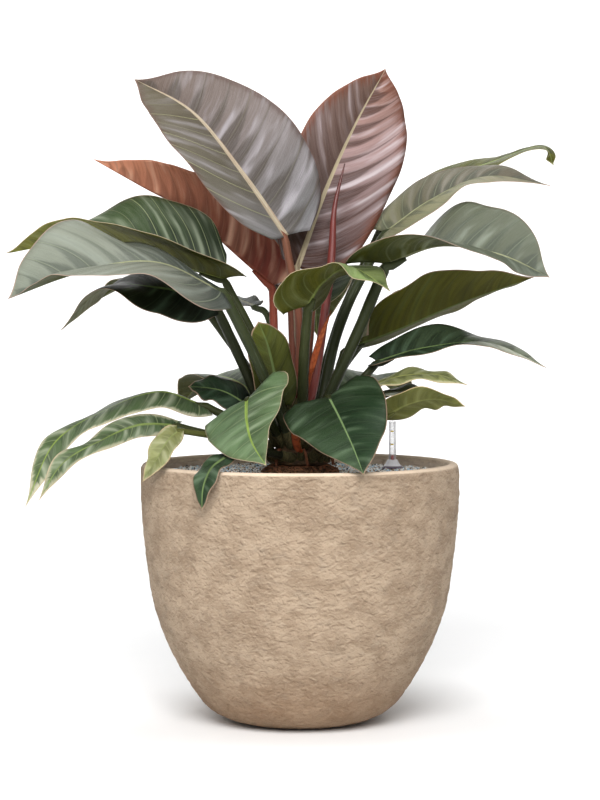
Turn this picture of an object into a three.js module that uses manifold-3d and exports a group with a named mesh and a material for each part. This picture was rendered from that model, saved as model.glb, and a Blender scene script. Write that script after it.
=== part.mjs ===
import * as THREE from 'three';
import Module from 'manifold-3d';

const wasm = await Module();
wasm.setup();

// Driving dimensions, millimetres, +Z up, origin at the middle of the pot's underside
const GAP = 0.4;
const SIDES = 36;

// Pot profiles as [radius, height]: outside up to the rolled rim, then down the inside
const POT_OUTER = [
  [0, 0], [70, 0], [85, 3], [100, 8], [117, 18], [129, 32], [148.5, 62], [165, 92.5],
  [177, 123], [186, 153], [194, 205], [200, 265], [201, 304],
  [200.5, 320], [197, 326], [189, 326],
];
const POT_INNER = [
  [185.5, 322], [185, 304], [181, 230], [171, 153], [149, 93], [118, 45], [80, 24], [0, 22],
];

// Filling: a bed of granules in relief round the mound of the plant's own soil
const GRAVEL_TOP = 313;
const GRAVEL_RELIEF = 4.2;
const GRAVEL_ROWS = 11;
const MOUND_RADIUS = 50;
const MOUND_FLOOR = 250;
const MOUND_TOP = 321;

// Stem and the rings of leaf sockets on it: distance from the axis and height
const STEM_RADIUS = 30;
const STEM_FOOT = 296;
const STEM_SIDES = 14;
const RINGS = {
  low: { reach: 36, height: 334 },
  mid: { reach: 29, height: 352 },
  high: { reach: 21, height: 371 },
  top: { reach: 13, height: 389 },
};
const SOCKET_DEPTH = 7;
const SOCKET_REACH = 26;
const ROOT_COUNT = 7;
const ROOT_WAY = [[36, 344], [44, 337], [46.5, 325.5]];

// Blade build: thickness, and for leaves from each width up the rows from base to tip, the
// columns on each side of the midrib and the steps of the stalk
const BLADE_THICKNESS = 0.9;
const BLADE_STEPS = [
  { from: 65, rows: 8, halfColumns: 3, stalk: 6 },
  { from: 20, rows: 5, halfColumns: 2, stalk: 5 },
  { from: 0, rows: 5, halfColumns: 1, stalk: 4 },
];
const STALK_SIDES = 6;

// The newest leaf, still rolled into a spike
const SPIKE_RADIUS = 6;
const SPIKE_WAY = [
  [7, -9, 391], [17, -14, 420], [28, -15, 490], [39, -11, 578], [43, -8, 644], [56, -4, 701],
];

// Water meter beside the plant
const METER_X = 119.5;
const METER_Y = 80;
const METER_SIDES = 16;
const PIPE_OUTER = 11;
const PIPE_INNER = 9;
const PIPE_FOOT = 147;
const PIPE_FLOOR = 150;
const PIPE_TOP = 312;
const CAP_FOOT = 312.6;
const CAP_TOP = 324;
const CAP_RADIUS = 13.5;
const TUBE_OUTER = 4.7;
const TUBE_INNER = 3.7;
const FLOAT_TIP = 329.6;
const FLOAT_TRAVEL = 38;
const TUBE_TOP = FLOAT_TIP + FLOAT_TRAVEL + 6.4;

// Colour and roughness of each kind of blade
const LOOKS = {
  bronze: { blade: 0x85756f, rough: 0.35 },
  red: { blade: 0x7c4030, rough: 0.4 },
  green: { blade: 0x66805c, rough: 0.38 },
  grey: { blade: 0x7f8b80, rough: 0.35 },
  dark: { blade: 0x33452f, rough: 0.35 },
  pale: { blade: 0x8b9062, rough: 0.45 },
  sheath: { blade: 0xa8502a, rough: 0.6 },
};

// Each leaf: the socket it grows from and its turn round the stem, its full width and look,
// then what shapes its outline, the points its stalk and its midrib pass through, the way its
// upper face looks from base to tip, and the fold in degrees of its right and left half. Lobe
// and swell may differ right and left, and left is the left half's width as a share of the right
const LEAVES = [
  {
    name: 'leaf_01', ring: 'top', turn: -140, width: 179, look: 'bronze',
    lobe: [0.07, -0.04], swell: [-0.05, 0.11],
    stalk: [[0, -22, 493]],
    rib: [[-19, -35, 609], [-74, -45, 689], [-133, -52, 761], [-204, -50, 802]],
    face: [[0.4, -0.84, 0.38]], fold: [[18, 42, 32, 36], [37, 35, 31, 28]],
  },
  {
    name: 'leaf_02', ring: 'top', turn: 20, width: 172, look: 'bronze',
    left: 0.84, lobe: [0.06, 0], swell: [0.18, 0.1],
    stalk: [[-1, 6, 480]],
    rib: [[-4, 14, 573], [31, 26, 668], [68, 34, 750], [108, 36, 823]],
    face: [[0.28, -0.95, -0.13]], fold: [[14, -8], [30, 34]],
  },
  {
    name: 'leaf_03', ring: 'high', turn: 168, width: 130, look: 'red',
    stalk: [[-31, 17, 467]],
    rib: [[-35, 52, 548], [-86, 54, 593], [-141, 53, 642], [-201, 47, 675], [-262, 42, 709]],
    face: [[0.57, 0, 0.82]], fold: [[25, 20], [70, 62]],
  },
  {
    name: 'leaf_04', ring: 'high', turn: -158, width: 180, look: 'green',
    lobe: [-0.03, 0.14],
    stalk: [[-50, -10, 467]],
    rib: [[-95, -14, 556], [-181, -16, 582], [-277, -16, 602], [-367, -18, 589]],
    face: [[0, -0.1, 1]], fold: [[75, 66, 25, 0], [34, 32, 40, 45]],
  },
  {
    name: 'leaf_05', ring: 'mid', turn: -112, width: 165, look: 'grey',
    swell: 0.13, neck: 7, foot: 6.5,
    stalk: [[-32, -58, 405], [-58, -96, 468]],
    rib: [[-94, -124, 541], [-173, -148, 575], [-262, -155, 563], [-348, -156, 532]],
    face: [[0, -0.5, 0.86]], fold: [[-15, -3, 55, 60], [8, 26, 44, 44]],
  },
  {
    name: 'leaf_06', ring: 'mid', turn: -168, width: 95, look: 'dark',
    neck: 6,
    stalk: [[-79, -42, 468]],
    rib: [[-108, -50, 530], [-172, -62, 545], [-240, -75, 545], [-293, -80, 493]],
    face: [[0, -0.77, 0.64], [0, -0.6, 0.8], [0, 0.15, 1], [0, 0.2, 1]], fold: [[-5, 5], [0, 5]],
  },
  {
    name: 'leaf_07', ring: 'high', turn: -35, width: 178, look: 'grey',
    lobe: [0.34, 0.2], swell: [0.07, -0.02], wave: [0, 1, 0], neck: 7,
    stalk: [[64, -52, 474]],
    rib: [[106, -62, 574], [172, -66, 597], [245, -74, 585], [305, -84, 558]],
    face: [[-0.25, 0.34, 0.9], [0, -0.3, 0.95], [0.2, -0.67, 0.7]], fold: [[20, 28], [22, 16, 36, 46, 50]],
  },
  {
    name: 'leaf_08', ring: 'high', turn: -82, width: 146, look: 'green',
    lobe: [0.24, 0.12], neck: 6,
    stalk: [[5, -72, 458]],
    rib: [[10, -90, 522], [27, -94, 551], [61, -102, 570], [109, -120, 541]],
    face: [[-0.4, 0.75, 0.53], [-0.3, 0.6, 0.7], [0.4, -0.3, 0.8]], fold: [[10, -4, -20, -8, 30], [50, 30]],
  },
  {
    name: 'leaf_09', ring: 'mid', turn: -8, width: 130, look: 'dark',
    base: 0.01, lobe: [-0.14, 0.03], swell: 0.1,
    stalk: [[44, -2, 425]],
    rib: [[56, 8, 467], [126, 4, 494], [202, 0, 527], [293, -8, 559]],
    face: [[-0.3, 0.62, 0.72]], fold: [[22, 20], [40, 42]],
  },
  {
    name: 'leaf_10', ring: 'mid', turn: -38, width: 84, look: 'dark',
    stalk: [[56, -45, 406]],
    rib: [[96, -30, 453], [154, -40, 470], [233, -50, 477], [304, -58, 447]],
    face: [[0, -0.6, 0.8]], fold: [[42, 40], [8, 12, -18, 0]],
  },
  {
    name: 'leaf_11', ring: 'low', turn: -28, width: 50, look: 'pale',
    neck: 4,
    stalk: [[58, -36, 380]],
    rib: [[90, -76, 425], [123, -88, 437], [167, -96, 439], [204, -100, 427]],
    face: [[0, -0.3, 0.95]], fold: [[12, 5], [12, 5]],
  },
  {
    name: 'leaf_12', ring: 'low', turn: -47, width: 40, look: 'grey',
    neck: 4,
    stalk: [[50, -52, 372]],
    rib: [[102, -80, 415], [129, -84, 419], [153, -88, 418], [178, -92, 401]],
    face: [[0, -0.3, 0.95]], fold: [[12, 5], [12, 5]],
  },
  {
    name: 'leaf_13', ring: 'low', turn: -66, width: 60, look: 'pale',
    neck: 4,
    stalk: [[42, -70, 362]],
    rib: [[105, -94, 389], [134, -106, 405], [166, -116, 411], [200, -122, 402]],
    face: [[0, 0.5, 0.87]], fold: [[15, 10], [15, 10]],
  },
  {
    name: 'leaf_14', ring: 'mid', turn: -80, width: 124, look: 'dark',
    base: 0.6, lobe: [0.1, 0.12], swell: [-0.08, 0.05],
    stalk: [[22, -70, 382]],
    rib: [[35, -105, 413], [49, -140, 386], [63, -175, 356], [75, -208, 325]],
    face: [[-0.16, -0.6, 0.67]], fold: [[5, 12], [18, 24]],
  },
  {
    name: 'leaf_15', ring: 'mid', turn: -140, width: 118, look: 'green', swell: [-0.06, -0.1],
    base: 0.6, lobe: [-0.06, 0.3],
    stalk: [[-47, -65, 395]],
    rib: [[-65, -90, 409], [-64, -125, 385], [-57, -160, 360], [-40, -190, 335]],
    face: [[-0.42, -0.58, 0.64]], fold: [[5, 12], [15, 20]],
  },
  {
    name: 'leaf_16', ring: 'low', turn: -168, width: 66, look: 'green',
    wave: [3, 2.5, 0.2],
    stalk: [[-68, -35, 371]],
    rib: [[-120, -40, 400], [-176, -52, 417], [-243, -64, 393], [-302, -74, 354], [-337, -80, 277]],
    face: [[0, -0.39, 0.92]], fold: [[-16, -16, -16, 12, 10], [-12, -8, 18, -16, -20]],
  },
  {
    name: 'leaf_17', ring: 'low', turn: -148, width: 36, look: 'green',
    wave: [3, 3, 0], neck: 4,
    stalk: [[-86, -60, 357]],
    rib: [[-152, -84, 377], [-197, -98, 378], [-241, -112, 360], [-287, -122, 333], [-316, -126, 288]],
    face: [[0.2, -0.6, 0.8]], fold: [[10, 25, -15, 25, 10], [10, -15, 25, -10, 10]],
  },
  {
    name: 'leaf_18', ring: 'low', turn: -129, width: 32, look: 'pale',
    neck: 3.5,
    stalk: [[-90, -75, 360]],
    rib: [[-148, -110, 372], [-161, -118, 359], [-174, -121, 337], [-192, -100, 309]],
    face: [[-0.3, -0.9, 0.1]], fold: [[20, 20], [20, 20]],
  },
  {
    name: 'leaf_19', ring: 'low', turn: -108, width: 36, look: 'dark',
    base: 0.2, neck: 4,
    stalk: [[-64, -92, 349]],
    rib: [[-88, -140, 342], [-105, -164, 330], [-114, -184, 309], [-116, -188, 281]],
    face: [[-0.5, -0.8, 0.3]], fold: [[15, 15], [15, 15]],
  },
  {
    name: 'leaf_20', ring: 'low', turn: 172, width: 52, look: 'dark',
    base: 0.3, swell: 0.15,
    stalk: [],
    rib: [[-71, -15, 402], [-94, -15, 415], [-116, -15, 420], [-140, -15, 422]],
    face: [[0, -0.6, 0.8]], fold: [[10, 10], [10, 10]],
  },
  {
    name: 'leaf_21', ring: 'high', turn: 128, width: 42, look: 'grey',
    neck: 4,
    stalk: [[-38, 50, 500]],
    rib: [[-59, 70, 522], [-70, 95, 526], [-81, 120, 531], [-94, 145, 536]],
    face: [[0, -0.3, 0.95]], fold: [[20, 10], [20, 10]],
  },
  {
    name: 'leaf_22', ring: 'high', turn: -120, width: 62, look: 'dark',
    base: 0.2, swell: 0.15,
    stalk: [],
    rib: [[-24, -38, 400], [-31, -41, 436], [-40, -43, 474], [-52, -42, 504]],
    face: [[-0.5, 0.85, 0.1]], fold: [[15, 10], [15, 10]],
  },
  {
    name: 'leaf_23', ring: 'high', turn: 10, width: 92, look: 'grey',
    neck: 6,
    stalk: [[51, 30, 500]],
    rib: [[108, 46, 616], [168, 42, 658], [236, 26, 686], [315, 6, 674]],
    face: [[0, -0.44, 0.9]], fold: [[20, 24], [26, 5]],
  },
  {
    name: 'leaf_24', ring: 'high', turn: 48, width: 80, look: 'green',
    wave: [6, 2, 0.1], neck: 6,
    stalk: [[50, 48, 500]],
    rib: [[108, 90, 627], [165, 102, 682], [240, 110, 706], [312, 112, 729], [330, 112, 705]],
    face: [[0, -0.2, 0.98]], fold: [[5, 10], [5, 10]],
  },
  {
    name: 'leaf_25', ring: 'top', turn: 75, width: 118, look: 'bronze',
    stalk: [[12, 30, 480]],
    rib: [[20, 52, 590], [30, 90, 650], [42, 125, 710], [56, 150, 765]],
    face: [[-0.2, -0.75, 0.6]], fold: [[20, 20], [20, 20]],
  },
  {
    name: 'leaf_26', ring: 'top', turn: 130, width: 112, look: 'bronze',
    stalk: [[-9, 42, 480]],
    rib: [[-16, 78, 600], [-32, 108, 652], [-56, 142, 704], [-88, 172, 750]],
    face: [[0.3, -0.7, 0.6]], fold: [[20, 20], [20, 20]],
  },
  {
    name: 'leaf_27', ring: 'high', turn: 88, width: 130, look: 'green',
    stalk: [[6, 50, 440]],
    rib: [[8, 85, 525], [12, 160, 565], [18, 240, 550], [24, 310, 480]],
    face: [[0, -0.2, 1], [0, 0.3, 1]], fold: [[20, 15], [20, 15]],
  },
  {
    name: 'leaf_28', ring: 'mid', turn: 122, width: 100, look: 'green',
    stalk: [[-40, 45, 375]],
    rib: [[-52, 68, 400], [-88, 120, 425], [-125, 175, 425], [-165, 225, 385]],
    face: [[0, -0.2, 1], [-0.2, 0.3, 1]], fold: [[20, 15], [20, 15]],
  },
  {
    name: 'leaf_29', ring: 'mid', turn: 58, width: 95, look: 'green',
    stalk: [[28, 58, 375]],
    rib: [[46, 94, 402], [80, 140, 425], [116, 185, 425], [150, 228, 392]],
    face: [[0, -0.1, 1], [0.2, 0.2, 1]], fold: [[20, 15], [20, 15]],
  },
  {
    name: 'leaf_30', ring: 'mid', turn: 90, width: 100, look: 'dark',
    stalk: [[-2, 50, 370]],
    rib: [[-16, 78, 386], [-22, 130, 402], [-30, 185, 395], [-40, 240, 352]],
    face: [[0, -0.1, 1], [0, 0.3, 1]], fold: [[20, 15], [20, 15]],
  },
  {
    name: 'leaf_31', ring: 'mid', turn: 28, width: 70, look: 'green',
    stalk: [[48, 72, 430]],
    rib: [[100, 108, 500], [136, 118, 530], [176, 130, 540], [212, 146, 528]],
    face: [[0, -0.1, 1], [0.2, 0.1, 1]], fold: [[20, 15], [20, 15]],
  },
  {
    name: 'leaf_32', ring: 'mid', turn: 152, width: 95, look: 'green',
    stalk: [[-66, 62, 440]],
    rib: [[-122, 62, 520], [-168, 78, 552], [-222, 96, 554], [-278, 110, 520]],
    face: [[0, -0.1, 1], [-0.2, 0.1, 1]], fold: [[20, 15], [20, 15]],
  },
];

// Dry sheaths left at the foot of older leaves, told in the same way
const SHEATHS = [
  {
    name: 'sheath_01', ring: 'top', turn: -92, width: 9, look: 'sheath',
    base: 0.3, lobe: 0, wave: [0, 1, 0], neck: 2.4, foot: 2.4,
    stalk: [[9, -28, 420]],
    rib: [[14, -35, 442], [21, -37, 468], [29, -38, 492], [39, -38, 518]],
    face: [[-0.2, -0.9, 0.3]], fold: [[20, 20], [20, 20]],
  },
  {
    name: 'sheath_02', ring: 'low', turn: -88, width: 16, look: 'sheath',
    base: 0.3, lobe: 0, wave: [0, 1, 0], neck: 3, foot: 3,
    stalk: [[1, -46, 340]],
    rib: [[1, -52, 344], [-2, -58, 356], [-5, -62, 368], [-8, -65, 380]],
    face: [[0, -0.6, 0.8]], fold: [[-20, -20], [-20, -20]],
  },
];

// Seeded random numbers from 0 to 1
function randomSource(seed) {
  let state = seed >>> 0;
  return () => {
    state = (state + 0x6d2b79f5) >>> 0;
    let t = Math.imul(state ^ (state >>> 15), 1 | state);
    t = (t + Math.imul(t ^ (t >>> 7), 61 | t)) ^ t;
    return ((t ^ (t >>> 14)) >>> 0) / 4294967296;
  };
}

// Vector helpers
const add = (a, b) => a.map((x, i) => x + b[i]);
const sub = (a, b) => a.map((x, i) => x - b[i]);
const scale = (a, k) => a.map((x) => x * k);
const dot = (a, b) => a[0] * b[0] + a[1] * b[1] + a[2] * b[2];
const cross = (a, b) => [
  a[1] * b[2] - a[2] * b[1],
  a[2] * b[0] - a[0] * b[2],
  a[0] * b[1] - a[1] * b[0],
];
const unit = (a) => scale(a, 1 / Math.hypot(...a));
const radians = (degrees) => (degrees * Math.PI) / 180;
const clamp = (x) => Math.min(Math.max(x, 0), 1);
const smooth = (x) => clamp(x) ** 2 * (3 - 2 * clamp(x));
const evenly = (count, make) => Array.from({ length: count }, (_, i) => make(i));

// A smooth curve through the given points, t from 0 to 1
function curvePoint(points, t) {
  const last = points.length - 1;
  const first = sub(scale(points[0], 2), points[1]);
  const beyond = sub(scale(points[last], 2), points[last - 1]);
  const p = [first, ...points, beyond];
  const s = clamp(t) * last;
  const i = Math.min(Math.floor(s), last - 1);
  const f = s - i;
  return p[i].map((a, k) => {
    const b = p[i + 1][k];
    const c = p[i + 2][k];
    const d = p[i + 3][k];
    const square = 2 * a - 5 * b + 4 * c - d;
    const cube = 3 * b - 3 * c + d - a;
    return 0.5 * (2 * b + (c - a) * f + square * f * f + cube * f * f * f);
  });
}

function curveLength(points) {
  const stations = evenly(61, (i) => curvePoint(points, i / 60));
  return stations.slice(1).reduce((sum, p, i) => sum + Math.hypot(...sub(p, stations[i])), 0);
}

// A value or vector eased along a short list, t from 0 to 1
function easedValue(list, t) {
  const last = list.length - 1;
  if (last === 0) return list[0];
  const s = clamp(t) * last;
  const i = Math.min(Math.floor(s), last - 1);
  const f = smooth(s - i);
  if (typeof list[0] === 'number') return list[i] * (1 - f) + list[i + 1] * f;
  return add(scale(list[i], 1 - f), scale(list[i + 1], f));
}

// Half the blade's width along the midrib, as a share of the widest place
function bladeOutline(base) {
  const raw = (t) => (t + base) ** 0.5 * (1 - t ** 1.6) ** 1.1;
  const widest = Math.max(...evenly(201, (i) => raw(i / 200)));
  return (t) => (raw(t) / widest) * (1 - 0.3 * smooth((t - 0.84) / 0.16));
}

// Points of the blade's middle surface: rows from base to tip, columns from left to right
function bladeGrid(leaf, rows, halfColumns) {
  const lobes = [leaf.lobe ?? 0.07].flat();
  const swells = [leaf.swell ?? 0.05].flat();
  const [waveHeight, waveCount, waveStart] = leaf.wave ?? [3, 2.5, 0];
  const outline = bladeOutline(leaf.base ?? 0.07);
  const length = curveLength(leaf.rib);
  return evenly(rows + 1, (i) => {
    const t = i / rows;
    const centre = curvePoint(leaf.rib, t);
    const along = unit(sub(curvePoint(leaf.rib, t + 0.001), curvePoint(leaf.rib, t - 0.001)));
    const looks = unit(easedValue(leaf.face, t));
    const normal = unit(sub(looks, scale(along, dot(looks, along))));
    const side = cross(along, normal);
    const half = (leaf.width / 2) * outline(t);
    const fade = Math.sin(Math.PI * (t * 0.92 + 0.08));
    return evenly(2 * halfColumns + 1, (j) => {
      const v = j / halfColumns - 1;
      const a = Math.abs(v);
      const leftHalf = v < 0;
      const angle = radians(easedValue(leaf.fold[leftHalf ? 1 : 0], t) - 10 * a);
      const phase = waveCount * t + waveStart + (leftHalf ? 0.37 : 0);
      const wave = waveHeight * Math.sin(2 * Math.PI * phase) * a * a * fade;
      const corner = 0.3 * (1 - clamp(t / 0.12)) ** 2 * a ** 4;
      const reach = half * a * (1 - corner) * (leftHalf ? leaf.left ?? 1 : 1);
      const lobe = leftHalf ? lobes.at(-1) : lobes[0];
      const back = (lobe - 1.2 * corner * Math.max(lobe, 0)) * (1 - t) ** 5 * a ** 1.3;
      const forward = (leftHalf ? swells.at(-1) : swells[0]) * Math.sin(Math.PI * t) * a ** 1.5;
      let point = add(centre, scale(side, Math.sign(v) * Math.cos(angle) * reach));
      point = add(point, scale(normal, Math.sin(angle) * reach + wave));
      return add(point, scale(along, length * (forward - back)));
    });
  });
}

// A closed mesh from points and triangles
function meshGeometry(points, triangles) {
  const geometry = new THREE.BufferGeometry();
  geometry.setAttribute('position', new THREE.Float32BufferAttribute(points.flat(), 3));
  geometry.setIndex(triangles.flat());
  return geometry;
}

function bladeSteps(leaf) {
  return BLADE_STEPS.find(({ from }) => leaf.width >= from);
}

// A thin closed blade: both faces are split alike, and the last row ends in one tip
function bladeGeometry(leaf) {
  const { rows, halfColumns } = bladeSteps(leaf);
  const columns = 2 * halfColumns;
  const grid = bladeGrid(leaf, rows, halfColumns);
  const normalAt = (i, j) => {
    const across = sub(grid[i][Math.min(j + 1, columns)], grid[i][Math.max(j - 1, 0)]);
    return unit(cross(across, sub(grid[i + 1][j], grid[Math.max(i - 1, 0)][j])));
  };
  const points = [];
  const triangles = [];
  const onBothFaces = (point, normal) => [
    points.push(add(point, scale(normal, BLADE_THICKNESS / 2))) - 1,
    points.push(sub(point, scale(normal, BLADE_THICKNESS / 2))) - 1,
  ];
  const vertices = evenly(rows, (i) => (
    evenly(columns + 1, (j) => onBothFaces(grid[i][j], normalAt(i, j)))
  ));
  const tip = onBothFaces(grid[rows][halfColumns], normalAt(rows - 1, halfColumns));
  const bothFaces = (a, b, c) => triangles.push([a[0], b[0], c[0]], [a[1], c[1], b[1]]);
  const wall = (a, b) => triangles.push([b[0], a[0], a[1]], [b[0], a[1], b[1]]);
  for (let i = 0; i + 1 < rows; i += 1) {
    for (let j = 0; j < columns; j += 1) {
      const a = vertices[i][j];
      const b = vertices[i][j + 1];
      const c = vertices[i + 1][j + 1];
      const d = vertices[i + 1][j];
      if (j < halfColumns) {
        bothFaces(a, b, c);
        bothFaces(a, c, d);
      } else {
        bothFaces(a, b, d);
        bothFaces(b, c, d);
      }
    }
    wall(vertices[i + 1][0], vertices[i][0]);
    wall(vertices[i][columns], vertices[i + 1][columns]);
  }
  for (let j = 0; j < columns; j += 1) {
    bothFaces(vertices[rows - 1][j], vertices[rows - 1][j + 1], tip);
    wall(vertices[0][j], vertices[0][j + 1]);
  }
  wall(tip, vertices[rows - 1][0]);
  wall(vertices[rows - 1][columns], tip);
  return meshGeometry(points, triangles);
}

// A closed round bar along a list of points, its radius given at each
function barGeometry(path, radii, sides) {
  const points = [];
  const triangles = [];
  const last = path.length - 1;
  let across = unit(cross(unit(sub(path[1], path[0])), [0.31, 0.87, 0.17]));
  path.forEach((centre, i) => {
    const along = unit(sub(path[Math.min(i + 1, last)], path[Math.max(i - 1, 0)]));
    across = unit(sub(across, scale(along, dot(across, along))));
    const up = cross(along, across);
    for (let k = 0; k < sides; k += 1) {
      const turn = (2 * Math.PI * k) / sides;
      const out = add(scale(across, Math.cos(turn)), scale(up, Math.sin(turn)));
      points.push(add(centre, scale(out, radii[i])));
    }
  });
  for (let i = 0; i < last; i += 1) {
    for (let k = 0; k < sides; k += 1) {
      const a = i * sides + k;
      const b = i * sides + ((k + 1) % sides);
      triangles.push([a, b, b + sides], [a, b + sides, a + sides]);
    }
  }
  const end = last * sides;
  for (let k = 1; k + 1 < sides; k += 1) {
    triangles.push([0, k + 1, k], [end, end + k, end + k + 1]);
  }
  return meshGeometry(points, triangles);
}

// A turned body: its profile runs from the axis round to the axis, or closes on itself
function turnedGeometry(profile, sides, { closed = false, rough = () => [0, 0] } = {}) {
  const points = [];
  const triangles = [];
  const rings = profile.map(([r, z], i) => {
    if (r === 0) return [points.push([0, 0, z]) - 1];
    return evenly(sides, (k) => {
      const turn = (2 * Math.PI * k) / sides;
      const [out, up] = rough(i, k);
      const reach = r + out;
      return points.push([reach * Math.cos(turn), reach * Math.sin(turn), z + up]) - 1;
    });
  });
  const bands = closed ? rings.length : rings.length - 1;
  for (let i = 0; i < bands; i += 1) {
    const low = rings[i];
    const high = rings[(i + 1) % rings.length];
    for (let k = 0; k < sides; k += 1) {
      const n = (k + 1) % sides;
      if (low.length === 1) {
        triangles.push([low[0], high[n], high[k]]);
      } else if (high.length === 1) {
        triangles.push([low[k], low[n], high[0]]);
      } else {
        triangles.push([low[k], low[n], high[n]], [low[k], high[n], high[k]]);
      }
    }
  }
  return meshGeometry(points, triangles);
}

// Exact joins and cuts
function toSolid(geometry) {
  return new wasm.Manifold(new wasm.Mesh({
    numProp: 3,
    vertProperties: new Float32Array(geometry.attributes.position.array),
    triVerts: new Uint32Array(geometry.index.array),
  }));
}

function fromSolid(solid) {
  const { vertProperties, triVerts } = solid.getMesh();
  const geometry = new THREE.BufferGeometry();
  geometry.setAttribute('position', new THREE.BufferAttribute(new Float32Array(vertProperties), 3));
  geometry.setIndex(new THREE.BufferAttribute(new Uint32Array(triVerts), 1));
  return geometry;
}

function material(color, roughness, options = {}) {
  return new THREE.MeshStandardMaterial({ color, roughness, metalness: 0, ...options });
}

function named(name, geometry, finish) {
  const mesh = new THREE.Mesh(geometry, finish);
  mesh.name = name;
  return mesh;
}

// The round pot with its rolled rim, open at the top
function pot() {
  return named('pot', turnedGeometry([...POT_OUTER, ...POT_INNER], SIDES), material(0xc6a98a, 0.9));
}

// Room for the meter's pipe and cap in the filling
function meterHole() {
  const bore = PIPE_OUTER + GAP;
  const seat = CAP_RADIUS + GAP;
  const profile = [
    [0, PIPE_FOOT - GAP], [bore, PIPE_FOOT - GAP], [bore, CAP_FOOT - GAP],
    [seat, CAP_FOOT - GAP], [seat, CAP_TOP + 6], [0, CAP_TOP + 6],
  ];
  return toSolid(turnedGeometry(profile, METER_SIDES).translate(METER_X, METER_Y, 0));
}

// The filling of the pot; its top is a bed of small granules in relief
function filling() {
  const random = randomSource(41);
  const wall = [...POT_INNER].reverse().filter(([, z]) => z < GRAVEL_TOP - 5);
  const outside = wall.map(([r, z]) => [Math.max(r - GAP, 0), z + GAP]);
  const rim = outside[outside.length - 1][0];
  const bed = evenly(GRAVEL_ROWS + 1, (i) => (
    [rim + ((MOUND_RADIUS - rim) * i) / GRAVEL_ROWS, GRAVEL_TOP - 2]
  ));
  const firstBed = outside.length;
  const lastBed = firstBed + GRAVEL_ROWS;
  const profile = [...outside, ...bed, [MOUND_RADIUS, MOUND_FLOOR], [0, MOUND_FLOOR]];
  const rough = (i) => {
    if (i < firstBed || i > lastBed) return [0, 0];
    const edge = i === firstBed || i === lastBed;
    return [edge ? 0 : (random() - 0.5) * 5, random() * GRAVEL_RELIEF];
  };
  const body = toSolid(turnedGeometry(profile, SIDES, { rough }));
  return named('substrate', fromSolid(body.subtract(meterHole())), material(0xb9b3ab, 0.95));
}

// The mound of root-bound soil, with a plain round hole for the stem
function mound() {
  const random = randomSource(7);
  const reach = MOUND_RADIUS - GAP;
  const hole = STEM_RADIUS + GAP;
  const profile = [
    [0, MOUND_FLOOR + GAP], [reach, MOUND_FLOOR + GAP], [reach, MOUND_TOP - 9],
    [reach - 3, MOUND_TOP - 3], [reach - 8, MOUND_TOP - 1], [reach - 13, MOUND_TOP],
    [hole, MOUND_TOP], [hole, STEM_FOOT - GAP], [0, STEM_FOOT - GAP],
  ];
  const rough = (i) => {
    if (i < 3 || i > 5) return [0, 0];
    return [(random() - 0.5) * 2, (random() - 0.5) * 3];
  };
  return named('root_ball', turnedGeometry(profile, 32, { rough }), material(0x4a3426, 0.95));
}

// The stalk's way from inside its socket to the foot of the blade
function stalkPath(leaf, steps) {
  const { reach, height } = RINGS[leaf.ring];
  const turn = radians(leaf.turn);
  const start = [reach * Math.cos(turn), reach * Math.sin(turn), height];
  const route = [start, ...leaf.stalk, leaf.rib[0]];
  return evenly(steps + 1, (i) => curvePoint(route, i / steps));
}

function stalkRadii(leaf) {
  const neck = leaf.neck ?? 5;
  return { foot: leaf.foot ?? Math.min(neck + 1, 7), neck };
}

// A leaf grown as one piece: the stalk runs on into the foot of the midrib
function leafMesh(leaf) {
  const steps = bladeSteps(leaf).stalk;
  const { foot, neck } = stalkRadii(leaf);
  const path = [...stalkPath(leaf, steps), curvePoint(leaf.rib, 0.12)];
  const radii = evenly(steps, (i) => foot + ((neck - foot) * i) / steps);
  radii.push(neck * 0.8, neck * 0.45);
  const stalk = toSolid(barGeometry(path, radii, STALK_SIDES));
  const { blade, rough } = LOOKS[leaf.look];
  const finish = material(blade, rough, { side: THREE.DoubleSide });
  return named(leaf.name, fromSolid(toSolid(bladeGeometry(leaf)).add(stalk)), finish);
}

// A plain socket round the first stretch of a stalk
function socket(path, radius) {
  const start = add(path[0], scale(unit(sub(path[0], path[1])), GAP));
  const near = path.filter((p) => Math.hypot(...sub(p, path[0])) < SOCKET_REACH);
  const ends = [start, near[near.length - 1]];
  return toSolid(barGeometry(ends, [1.4 * radius + 0.6, 1.4 * radius + 0.9], 4));
}

// The short stem: stacked leaf scars, a socket for each stalk and stubby roots at its foot
function stem() {
  const profile = [[0, STEM_FOOT], [STEM_RADIUS, STEM_FOOT], [STEM_RADIUS, MOUND_TOP + 3.6]];
  for (const { reach, height } of Object.values(RINGS)) {
    const outer = reach + SOCKET_DEPTH;
    profile.push([outer, height - 8], [outer - 2, height + 8]);
  }
  profile.push([0, RINGS.top.height + 12]);
  let solid = toSolid(turnedGeometry(profile, STEM_SIDES));
  for (let k = 0; k < ROOT_COUNT; k += 1) {
    const turn = radians(20 + (k * 360) / ROOT_COUNT);
    const way = ROOT_WAY.map(([r, z]) => [r * Math.cos(turn), r * Math.sin(turn), z]);
    solid = solid.add(toSolid(barGeometry(way, [2.4, 2.4, 1.6], 5)));
  }
  for (const leaf of [...LEAVES, ...SHEATHS]) {
    solid = solid.subtract(socket(stalkPath(leaf, 40), stalkRadii(leaf).foot));
  }
  const spikeWay = evenly(41, (i) => curvePoint(SPIKE_WAY, i / 40));
  solid = solid.subtract(socket(spikeWay, SPIKE_RADIUS));
  const bodies = solid.simplify(0.1).decompose();
  const largest = bodies.sort((a, b) => b.volume() - a.volume())[0];
  return named('crown', fromSolid(largest), material(0x4a3a28, 0.85));
}

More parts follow.
